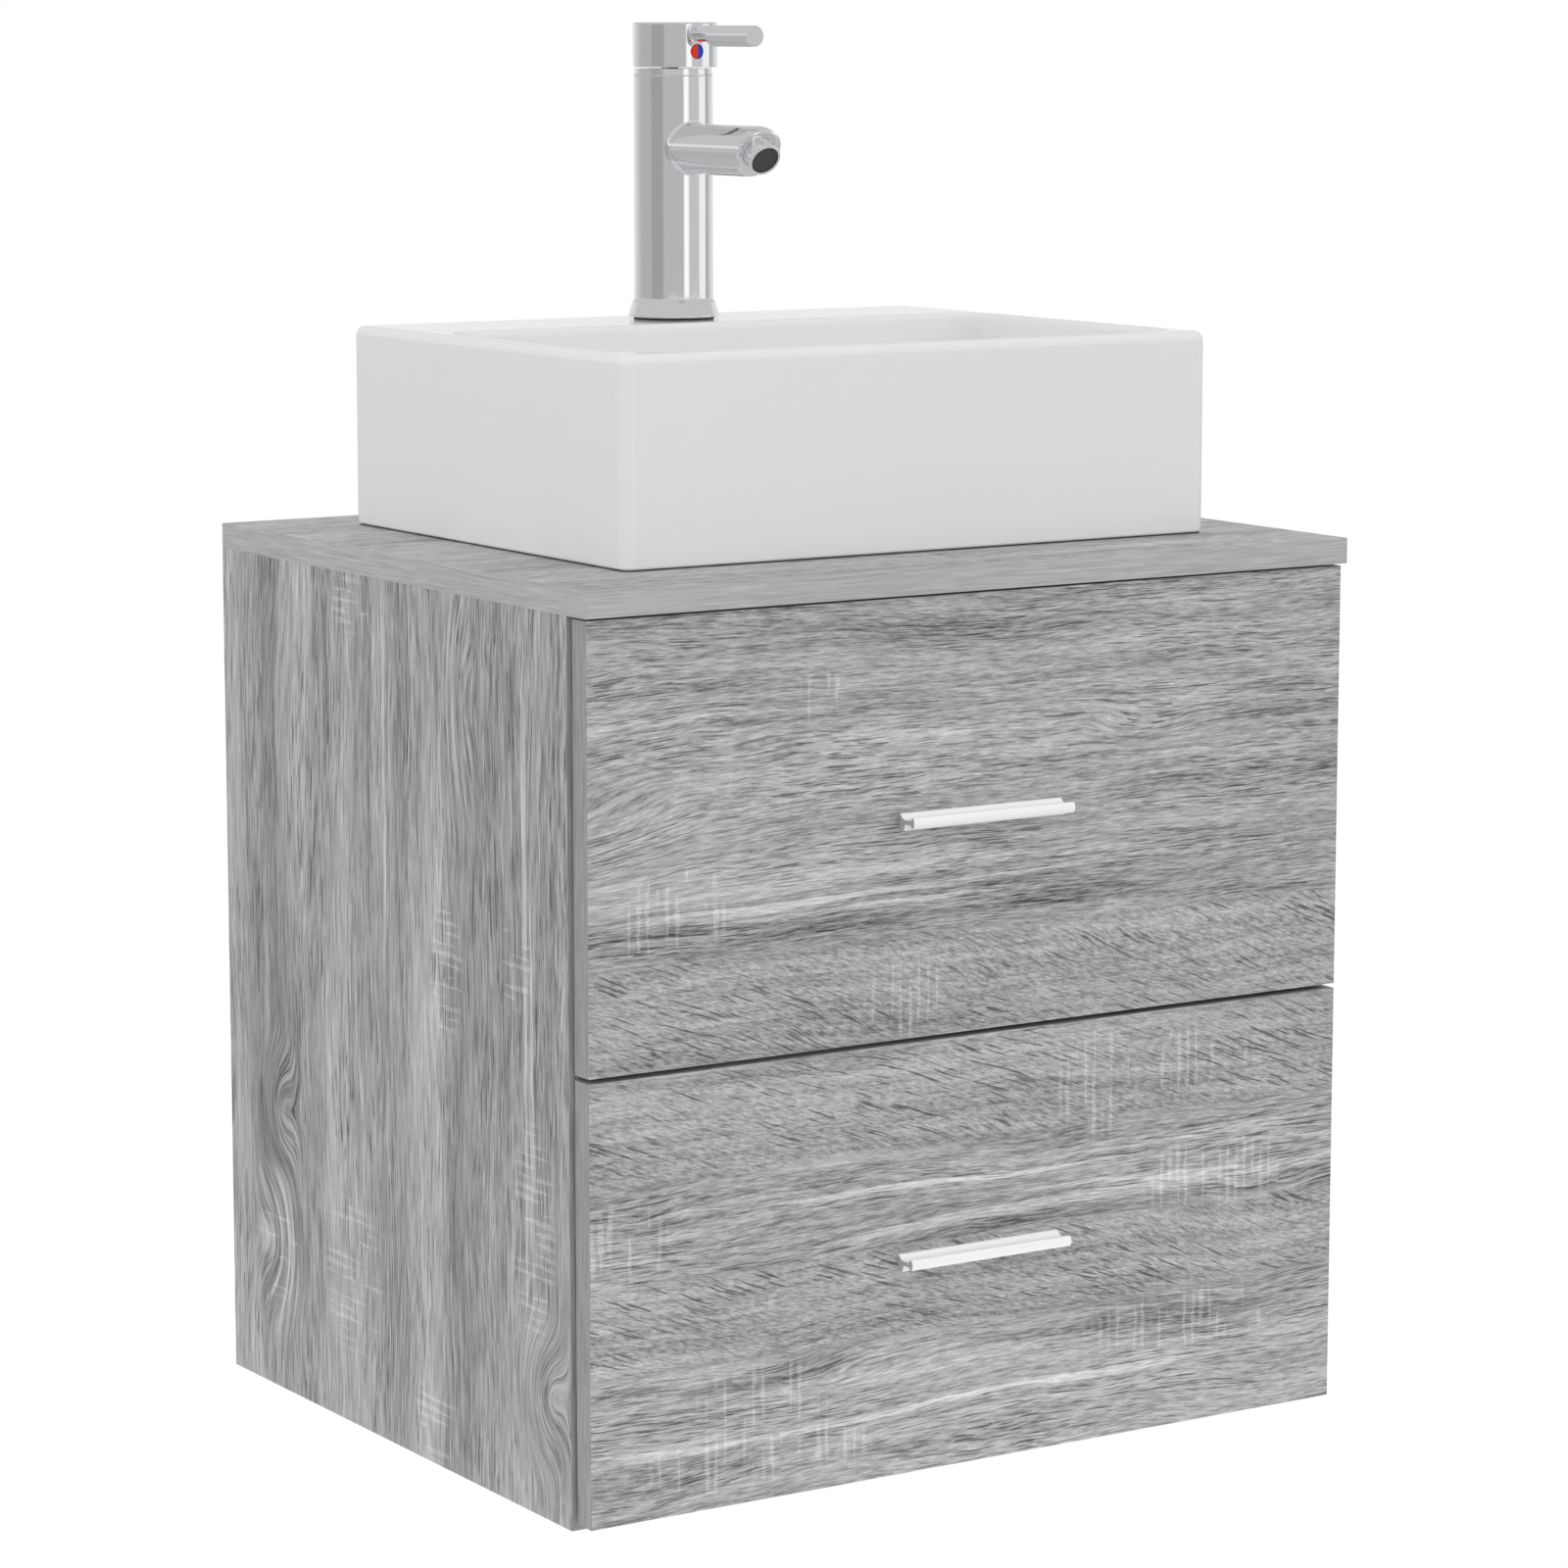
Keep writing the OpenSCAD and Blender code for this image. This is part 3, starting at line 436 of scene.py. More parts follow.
SIDE_STREAKS = [(300, -197, 76, 9, 0.10), (172, -180, 36, 14, 0.08), (60, -195, 70, 10, 0.06),
                (420, -44, 140, 4, 0.08), (330, -38, 60, 3, 0.05), (120, 60, 130, 8, 0.045),
                (470, -165, 90, 6, 0.05), (480, 46, 70, 4, 0.07), (480, 66, 60, 3, 0.06),
                (330, 172, 260, 16, 0.045), (30, 172, 50, 20, 0.05), (400, -225, 400, 14, -0.03),
                (330, -90, 200, 36, -0.025)]
SIDE_LINES = [(90, -165, 70, 30), (300, 60, 300, 20), (420, -20, 160, 16), (300, 150, 260, 18)]
SIDE_ARCS = [(185, -170, 60, 40, 26), (95, -168, 70, 44, -24), (470, 70, 90, 34, 14),
             (75, 168, 60, 42, 30)]


def oak_front():
    """Drawer fronts: grain across, one pattern over both, with banded edges."""
    net = Net("oak_front")
    x, y, z = net.split(net.where)
    flat = net.join(x, z, 0.7)
    level, height = grain(net, flat, OAK + 0.03, 0.42, FRONT_ARCS, FRONT_SAW, FRONT_SLANT,
                          FRONT_STREAKS, FRONT_LINES)
    across = net.math("ABSOLUTE", net.split(net.facing)[1])
    edge_flat = net.join(net.plus(z, x), y, 3.0)
    edge = edge_band(net, edge_flat, OAK - 0.045)
    show = net.ramp(across, 0.4, 0.6)
    finish_oak(net, net.blend(edge, level, show), net.times(height, show))
    return net.material


def edge_band(net, flat, tone):
    """Fine straight streaks of an edge band."""
    streaks = net.noise(net.scale(flat, (22.0, 620.0, 1.0)), 4.0, 0.7)
    return net.plus(tone, net.times(net.plus(streaks, -0.5), 0.55))


def oak_side():
    """Side panels: grain upright."""
    net = Net("oak_side")
    x, y, z = net.split(net.where)
    flat = net.join(z, net.times(y, -1.0), net.times(net.math("SIGN", x), 1.3))
    level, height = grain(net, flat, OAK + 0.03, 0.60, SIDE_ARCS, SIDE_SAW, (), SIDE_STREAKS,
                          SIDE_LINES, 34.0, 0.65)
    for place, width, depth in ((-208, 1.6, 0.05), (-141, 1.2, 0.035), (187, 1.5, 0.03)):
        seam = net.spot(flat, (0.27, place * MM), (9.0, width * MM), 0.0)
        level = net.plus(level, net.times(seam, -depth))
    outside = net.math("ABSOLUTE", net.split(net.facing)[0])
    edge = edge_band(net, net.join(net.plus(z, net.times(y, 0.3)), x, 5.0), OAK - 0.05)
    show = net.ramp(outside, 0.4, 0.6)
    finish_oak(net, net.blend(edge, level, show), net.times(height, show))
    return net.material


def oak_top():
    """Worktop: grain across, with streaked edge bands all round, its top face a lighter grey as painted
    sheen.
    """
    net = Net("oak_top")
    x, y, z = net.split(net.where)
    flat = net.join(x, y, 2.1)
    # The top face's grey, OAK + 0.09, is lighter than the fronts' and sides': painted sheen standing in for
    # the top's glossy reflection of the bright room.
    level, height = grain(net, flat, OAK + 0.09, 0.30, [(0, -190, 200, 60, 8)], [(150, -185, 50, 20)])
    upright = net.math("ABSOLUTE", net.split(net.facing)[2])
    sideways = net.math("ABSOLUTE", net.split(net.facing)[0])
    run = net.blend(x, y, net.ramp(sideways, 0.4, 0.6))
    edge = edge_band(net, net.join(run, z, 7.0), OAK + 0.07)
    broad = net.noise(net.join(net.times(run, 3.0), net.times(z, 90.0), 4.0), 2.0)
    edge = net.plus(edge, net.times(net.plus(broad, -0.5), 0.12))
    show = net.ramp(upright, 0.4, 0.6)
    finish_oak(net, net.blend(edge, level, show), net.times(height, show))
    return net.material


def oak_plain():
    """Bottom panel."""
    net = Net("oak_plain")
    x, y, z = net.split(net.where)
    level, height = grain(net, net.join(x, y, 4.4), OAK)
    edge = edge_band(net, net.join(x, z, 6.0), OAK - 0.02)
    show = net.ramp(net.math("ABSOLUTE", net.split(net.facing)[2]), 0.4, 0.6)
    finish_oak(net, net.blend(edge, level, show), net.times(height, show))
    return net.material


# ---------------------------------------------------------------- other materials


def speckled(name, base, roughness, metallic=0.0, grain_size=900.0, vary=0.03, rough_vary=0.08,
             bump=0.0, stretch=(1, 1, 1), ior=1.5):
    """A finish with fine variation of tone and gloss."""
    net = Net(name, base, roughness, metallic, ior)
    fine = net.noise(net.scale(net.where, tuple(grain_size * s for s in stretch)), 3.0, 0.6)
    broad = net.noise(net.scale(net.where, (9.0, 9.0, 9.0)), 2.0)
    mixed = net.blend(fine, broad, 0.35)
    dark = tuple(c * (1 - vary) for c in base)
    light = tuple(min(1.0, c * (1 + vary)) for c in base)
    net.colours(net.ramp(mixed, 0.3, 0.7), dark, light)
    net.rough(net.ramp(fine, 0.3, 0.7, max(0.02, roughness - rough_vary), roughness + rough_vary))
    if bump:
        net.bump(fine, bump, 0.0002)
    return net.material


def two_colours():
    """The mark: red on the left, blue on the right, under a clear dome."""
    net = Net("mark_red_blue", (0.8, 0.05, 0.02), 0.12)
    x = net.split(net.where)[0]
    soft = net.noise(net.scale(net.where, (900.0, 900.0, 900.0)), 1.0)
    place = net.plus(x, net.times(net.plus(soft, -0.5), 0.0002))
    share = net.ramp(place, BASIN_X + 0.0007, BASIN_X + 0.0013)
    net.colours(share, (0.80, 0.035, 0.008), (0.012, 0.06, 0.62))
    net.shader.inputs["Coat Weight"].default_value = 0.25
    net.shader.inputs["Coat Roughness"].default_value = 0.03
    net.shader.inputs["Specular IOR Level"].default_value = 0.2
    return net.material


def handle_enamel():
    """White enamel on the extruded rail, with its sawn ends a darker grey: partly the bare cut metal, partly
    painted shade.
    """
    net = Net("handle_enamel", (0.93, 0.93, 0.93), 0.28)
    fine = net.noise(net.scale(net.where, (1300.0, 1300.0, 1300.0)), 3.0, 0.6)
    # Faces turned along the rail, its sawn ends, get a darker grey: painted shade, partly the bare cut metal
    # of the ends.
    ends = net.ramp(net.math("ABSOLUTE", net.split(net.facing)[0]), 0.6, 0.9)
    share = net.plus(ends, net.times(net.plus(fine, -0.5), 0.06))
    net.colours(share, (0.93, 0.93, 0.93), (0.40, 0.40, 0.40))
    net.rough(net.plus(0.24, net.times(fine, 0.10)))
    net.bump(fine, 0.03, 0.0002)
    return net.material


def woven_mesh():
    """Fine wire mesh of the aerator."""
    net = Net("mesh_steel", (0.1, 0.1, 0.1), 0.45, 0.6)
    x, y, z = net.split(net.where)
    wires = net.times(net.math("SINE", net.times(x, 6500.0)), net.math("SINE", net.times(z, 9200.0)))
    net.colours(net.ramp(wires, -0.2, 0.9), (0.045, 0.045, 0.048), (0.19, 0.19, 0.20))
    net.bump(wires, 0.6, 0.0002)
    return net.material


def make_materials():
    """Every material by the name of its slot, or for the boards by the way they are cut."""
    ceramic = speckled("glazed_ceramic", (0.80, 0.80, 0.805), 0.12, 0.0, 40.0, 0.006, 0.03)
    ceramic.node_tree.nodes["Principled BSDF"].inputs["Coat Weight"].default_value = 0.4
    ceramic.node_tree.nodes["Principled BSDF"].inputs["Coat Roughness"].default_value = 0.06
    plain = {
        "chrome": ((0.83, 0.835, 0.85), 0.055, 1.0, 60.0, 0.012, 0.012),
        "white_board": ((0.74, 0.74, 0.73), 0.5, 0, 1500.0, 0.02, 0.06, 0.12),
        "birch": ((0.62, 0.46, 0.26), 0.6, 0, 700.0, 0.12, 0.08, 0.2, (0.2, 1, 1)),
        "zinc": ((0.56, 0.57, 0.60), 0.34, 1.0, 1200.0, 0.06, 0.08, 0.1),
        "runner_enamel": ((0.76, 0.76, 0.75), 0.32, 0, 1500.0, 0.015, 0.05, 0.06),
        "nylon": ((0.78, 0.78, 0.75), 0.45, 0, 800.0, 0.02, 0.06, 0.05),
        "silicone": ((0.10, 0.10, 0.10), 0.5, 0, 500.0, 0.1, 0.1, 0.1),
        "black_rubber": ((0.02, 0.02, 0.02), 0.6, 0, 1500.0, 0.15, 0.1, 0.15),
        "stainless": ((0.55, 0.55, 0.56), 0.3, 1.0, 1500.0, 0.05, 0.08, 0.08, (1, 1, 0.05)),
        "brass": ((0.70, 0.50, 0.20), 0.28, 1.0, 1400.0, 0.06, 0.07, 0.08, (0.1, 0.1, 1)),
        "cartridge_plastic": ((0.70, 0.70, 0.68), 0.4, 0, 900.0, 0.02, 0.06, 0.05),
        "rotor_plastic": ((0.09, 0.10, 0.12), 0.4, 0, 900.0, 0.08, 0.06, 0.05),
    }
    made = {name: speckled(name, *look) for name, look in plain.items()}
    made.update(oak_front=oak_front(), oak_side=oak_side(), oak_top=oak_top(), oak_plain=oak_plain(),
                handle_enamel=handle_enamel(), glazed_ceramic=ceramic, mesh_steel=woven_mesh(),
                mark_red_blue=two_colours())
    return made


MATERIALS = make_materials()
OAK_OF_NODE = {"worktop": "oak_top", "side_panel_left": "oak_side", "side_panel_right": "oak_side",
               "upper_front": "oak_front", "lower_front": "oak_front", "bottom_panel": "oak_plain"}
SLOT_OF_NODE = {part["node"]: part["material_slot"] for part in frame["record"]["subparts"]}
BOARDS = ["worktop", "side_panel_left", "side_panel_right", "bottom_panel", "upper_front", "lower_front"]
BOARD_EDGE = 0.5 * MM


def dress_cad_nodes():
    """Gives every CAD node its material, and the boards a fine rounded edge."""
    for name, node in NODES.items():
        node.data.materials.clear()
        node.data.materials.append(MATERIALS[OAK_OF_NODE.get(name, SLOT_OF_NODE[name])])
    for name in BOARDS:
        weld = NODES[name].modifiers.new("weld", "WELD")
        weld.merge_threshold = 1e-5
        flat = NODES[name].modifiers.new("flat", "DECIMATE")
        flat.decimate_type = "DISSOLVE"
        flat.angle_limit = math.radians(1)
        edge = NODES[name].modifiers.new("edge", "BEVEL")
        edge.width = BOARD_EDGE
        edge.segments = 2
        edge.limit_method = "ANGLE"
        edge.angle_limit = math.radians(60)
        edge.harden_normals = False


# ---------------------------------------------------------------- basin

RIM = 13 * MM
DECK_DEPTH = 95.5 * MM
WALL = 12 * MM
BASIN_CORNER = 8 * MM
TOP_ROUND = 6 * MM
FLAT_EDGE = 0.4 * MM
FOOT_ROUND = 1.6 * MM
BOWL_CORNER = 26 * MM
BOWL_LIP = 5 * MM
BOWL_SLOPE = 5 * MM
BOWL_FILLET = 24 * MM
FLOOR_FALL = 3 * MM
WASTE_HOLE = 23 * MM
TAP_HOLE = 17.5 * MM
DISH_R = 34 * MM
UNDER_CORNER = 4 * MM
OVERFLOW_DROP = 40 * MM
OVERFLOW_R = 11 * MM
TAIL_R = 20.95 * MM
TAIL_WALL = 2.45 * MM
FLANGE_R = 32 * MM
FLANGE_T = 3 * MM
HUB_R = 7 * MM
GUIDE_R = 4.1 * MM
ARM_T = 3 * MM
PLUG_R = 31.5 * MM


def inset_loop(x, y, radius, amount):
    """Rounded rectangle taken in by an amount on every side, with its corners kept round."""
    x_in, y_in = (x[0] + amount, x[1] - amount), (y[0] + amount, y[1] - amount)
    return rounded_rectangle(x_in, y_in, max(radius - amount, 0.5 * MM))


def circle_like(points, centre, radius):
    """Points on a circle, each in the direction of one of the given points."""
    return [centre + (p - centre).normalized() * radius for p in points]


def build_basin():
    """Basin cast as one shell of rings, with a hollow under the tap's deck and three holes."""
    x, y, z = BASIN
    bowl_x = (x[0] + RIM, x[1] - RIM)
    bowl_y = (y[0] + RIM, y[1] - DECK_DEPTH)
    under_x = bowl_x
    under_y = (y[0] + RIM, y[1] - RIM)
    drain = Vector((WASTE.x, WASTE.y))
    bm = bmesh.new()
    rings = [ring_at(bm, rounded_rectangle(under_x, under_y, UNDER_CORNER), z[0])]
    for k in range(4):
        a = math.radians(90 * k / 3)
        rings.append(ring_at(bm, inset_loop(x, y, BASIN_CORNER, FOOT_ROUND * (1 - math.sin(a))),
                             z[0] + FOOT_ROUND * (1 - math.cos(a))))
    for k in range(9):
        a = math.radians(90 * k / 8)
        rings.append(ring_at(bm, inset_loop(x, y, BASIN_CORNER, TOP_ROUND * (1 - math.cos(a))),
                             z[1] - TOP_ROUND * (1 - math.sin(a))))
    rings.append(ring_at(bm, inset_loop(x, y, BASIN_CORNER, TOP_ROUND + FLAT_EDGE), z[1]))
    rings.append(ring_at(bm, inset_loop(bowl_x, bowl_y, BOWL_CORNER, -BOWL_LIP - FLAT_EDGE), z[1]))
    for k in range(9):
        a = math.radians(90 * k / 8)
        rings.append(ring_at(bm, inset_loop(bowl_x, bowl_y, BOWL_CORNER, BOWL_LIP * (math.sin(a) - 1)),
                             z[1] - BOWL_LIP * (1 - math.cos(a))))
    top, low = z[1] - BOWL_LIP, FLOOR_Z + FLOOR_FALL + BOWL_FILLET
    for k in range(1, 5):
        share = k / 4
        rings.append(ring_at(bm, inset_loop(bowl_x, bowl_y, BOWL_CORNER, BOWL_SLOPE * share),
                             top + (low - top) * share))
    for k in range(1, 11):
        a = math.radians(90 * k / 10)
        rings.append(ring_at(bm, inset_loop(bowl_x, bowl_y, BOWL_CORNER + BOWL_FILLET,
                                            BOWL_SLOPE + BOWL_FILLET * (1 - math.cos(a))),
                             low - BOWL_FILLET * math.sin(a)))
    edge = [Vector((v.co.x, v.co.y)) for v in rings[-1]]
    hole = circle_like(edge, drain, DISH_R)
    for k in range(1, 9):
        share = k / 8
        fall = FLOOR_FALL * (1 - (1 - share) ** 1.5)
        rings.append(ring_at(bm, [e.lerp(h, share) for e, h in zip(edge, hole)],
                             FLOOR_Z + FLOOR_FALL - fall))
    rings.append(ring_at(bm, circle_like(edge, drain, WASTE_HOLE), FLOOR_Z))
    rings.append(ring_at(bm, circle_like(edge, drain, WASTE_HOLE), z[0] + WALL))
    rings.append(ring_at(bm, rounded_rectangle(under_x, under_y, UNDER_CORNER), z[0] + WALL))
    rings.append(rings[0])
    for low_ring, high_ring in zip(rings, rings[1:]):
        bridge(bm, low_ring, high_ring)
    piece = new_object("basin_ceramic", bm, "cabinet", MATERIALS["glazed_ceramic"], 40)
    hollow_y = (bowl_y[1] + WALL, y[1] - WALL)
    cut(piece, box_mesh(under_x, hollow_y, (z[0] - MM, z[1] - WALL)))
    cut(piece, cylinder(TAP_HOLE, z[1] - 2 * WALL, z[1] + MM, Matrix.Translation((TAP.x, TAP.y, 0))))
    cut(piece, cylinder(OVERFLOW_R, -3 * MM, 2 * WALL,
                        along_y(BASIN_X, hollow_y[0] + 2 * MM, DECK_Z - OVERFLOW_DROP)))
    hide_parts("basin")


def build_overflow_ring():
    """Chrome ring with a rounded lip, in the bowl's back wall."""
    bm = bmesh.new()
    outer, inner = OVERFLOW_R + 3 * MM, OVERFLOW_R - 2 * MM
    lip = 1.5 * MM
    profile = fillet([(OVERFLOW_R, -8 * MM), (OVERFLOW_R, 0), (outer, 0), (outer, lip, 0.9 * MM),
                      (inner, lip, 0.7 * MM), (inner, -8 * MM), (OVERFLOW_R, -8 * MM)])
    y_ring = limits("overflow_ring")[1][0] + lip
    lathe(bm, profile, along_y(BASIN_X, y_ring, DECK_Z - OVERFLOW_DROP), 96)
    piece = new_object("overflow_trim", bm, "cabinet", MATERIALS["chrome"])
    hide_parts("overflow_ring")


def build_waste():
    """Flange with a dished rim and a tail, the spider that guides the plug's stem, and the domed plug."""
    axis = Matrix.Translation(WASTE)
    bore_r = TAIL_R - TAIL_WALL
    tail_z = limits("waste_body")[2][0]
    bm = bmesh.new()
    profile = fillet([(TAIL_R, tail_z), (TAIL_R, WASTE_TOP - FLANGE_T), (FLANGE_R, WASTE_TOP - FLANGE_T),
                      (FLANGE_R, WASTE_TOP, 1.4 * MM), (24 * MM, WASTE_TOP, 2 * MM),
                      (bore_r, WASTE_TOP - 2.4 * MM, 1.2 * MM), (bore_r, tail_z), (TAIL_R, tail_z)])
    lathe(bm, profile, axis, 96)
    fitting = new_object("waste_fitting", bm, "cabinet", MATERIALS["chrome"])
    hub_z = (WORKTOP[2][0] + 6 * MM, WORKTOP[2][0] + 14 * MM)
    bm = bmesh.new()
    lathe(bm, [(GUIDE_R, hub_z[0]), (HUB_R, hub_z[0]), (HUB_R, hub_z[1]), (GUIDE_R, hub_z[1]),
               (GUIDE_R, hub_z[0])], axis, 48)
    for k in range(4):
        turn = axis @ Matrix.Rotation(math.radians(90 * k), 4, "Z")
        arm = bmesh.ops.create_cube(bm, size=1)["verts"]
        for v in arm:
            x = (HUB_R - 0.5 * MM, bore_r + 0.5 * MM)[v.co.x > 0]
            v.co = turn @ Vector((x, v.co.y * ARM_T, hub_z[v.co.z > 0]))
    new_object("waste_spider", bm, "cabinet", MATERIALS["chrome"])
    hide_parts("waste_body")
    bm = bmesh.new()
    low, high = CAP[2]
    profile = fillet([(0, low + 1.2 * MM), (24 * MM, low + 1.2 * MM, 1 * MM), (26 * MM, low, 0.4 * MM),
                      (30.6 * MM, low, 0.5 * MM), (PLUG_R, low + 0.9 * MM, 0.4 * MM),
                      (30.8 * MM, low + 1.9 * MM, 0.5 * MM), (25 * MM, high - 1.25 * MM, 8 * MM),
                      (12 * MM, high - 0.25 * MM, 12 * MM), (0, high)], 8)
    lathe(bm, profile, axis, 128)
    plug = new_object("plug_dome", bm, "plug", MATERIALS["chrome"])
    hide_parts("plug_cap")


# ---------------------------------------------------------------- tap

COLUMN_R = 25.6 * MM
FOOT_R = 29.4 * MM
FOOT_Z = 1.5 * MM
FOOT_HOLLOW_R = 20 * MM
SEAT_R = 17.5 * MM
SEAT_Z = 120 * MM
NUT_Z = 147 * MM
NUT_BORE = 14 * MM
NUT_LIP = 12.6 * MM
NECK_Z = 156.5 * MM
NECK_TOP = 161 * MM
HEAD_Z = 162 * MM
HEAD_TOP = 190.5 * MM
HEAD_R = 27.3 * MM
HEAD_Y = -2.5 * MM
HEAD_HOLLOW_R = 18 * MM
CAVITY_Z = 16 * MM
PIVOT = Vector((0, 4 * MM, 157 * MM))
LIFT_DEG = 20
SPOUT_Z = 110 * MM
SPOUT_R = 16 * MM
SPOUT_REACH = 102.4 * MM
OUTLET_DIP = math.radians(32)
SADDLE = 2 * MM
ROOT_SINK = 0.985
FACE = 0.5 * MM
MOUTH = 5 * MM
AERATOR_R = 11 * MM
AERATOR_BORE = 11.05 * MM
AERATOR_THREAD = 10.9 * MM
AERATOR_OUT = 5.5 * MM
SCREEN_R = 9 * MM
WATERWAY_R = 7 * MM
LEVER_R = 6.7 * MM
LEVER_Z = 182 * MM
LEVER_TIP = -99 * MM
NECK_R = 5.2 * MM
LEVER_NECK_Z = 183.3 * MM
LEVER_NECK_Y = -50 * MM
MARK_Z = 172 * MM
MARK_R = 4.8 * MM
AT_TAP = Matrix.Translation(TAP)


def build_tap_column():
    """Column with a flared foot, a cartridge seat and the hollow under its foot."""
    bm = bmesh.new()
    profile = fillet([(0, CAVITY_Z), (FOOT_HOLLOW_R, CAVITY_Z), (FOOT_HOLLOW_R, FOOT_Z),
                      (FOOT_R - 0.5 * MM, FOOT_Z), (FOOT_R, FOOT_Z + 0.5 * MM),
                      (FOOT_R, FOOT_Z + 1.5 * MM, 0.7 * MM), (27 * MM, 11.2 * MM, 2 * MM),
                      (26.0 * MM, 12.6 * MM, 1.2 * MM), (COLUMN_R, 13.6 * MM, 0.6 * MM),
                      (COLUMN_R, NECK_Z - 0.1 * MM, 0.35 * MM), (25.1 * MM, NECK_Z, 0.1 * MM),
                      (SEAT_R, NECK_Z), (SEAT_R, SEAT_Z), (0, SEAT_Z)])
    lathe(bm, profile, AT_TAP, 192)
    piece = new_object("tap_column", bm, "cabinet", MATERIALS["chrome"], 30)
    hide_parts("tap_body")


def build_neck():
    """Threaded ring that closes the cartridge seat, with the short neck above the column."""
    bm = bmesh.new()
    profile = fillet([(NUT_BORE, NUT_Z), (SEAT_R, NUT_Z), (SEAT_R, NECK_Z), (25.2 * MM, NECK_Z),
                      (25.4 * MM, NECK_Z + 0.5 * MM, 0.2 * MM), (25.2 * MM, NECK_TOP, 0.12 * MM),
                      (24.5 * MM, NECK_TOP), (23.0 * MM, NECK_Z + 1.5 * MM), (NUT_LIP, NECK_Z + 1.5 * MM),
                      (NUT_LIP, NECK_Z - 0.5 * MM), (NUT_BORE, NECK_Z - 0.5 * MM), (NUT_BORE, NUT_Z)])
    lathe(bm, profile, AT_TAP, 192)
    piece = new_object("tap_neck", bm, "cabinet", MATERIALS["chrome"], 30)
    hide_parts("cartridge_nut")


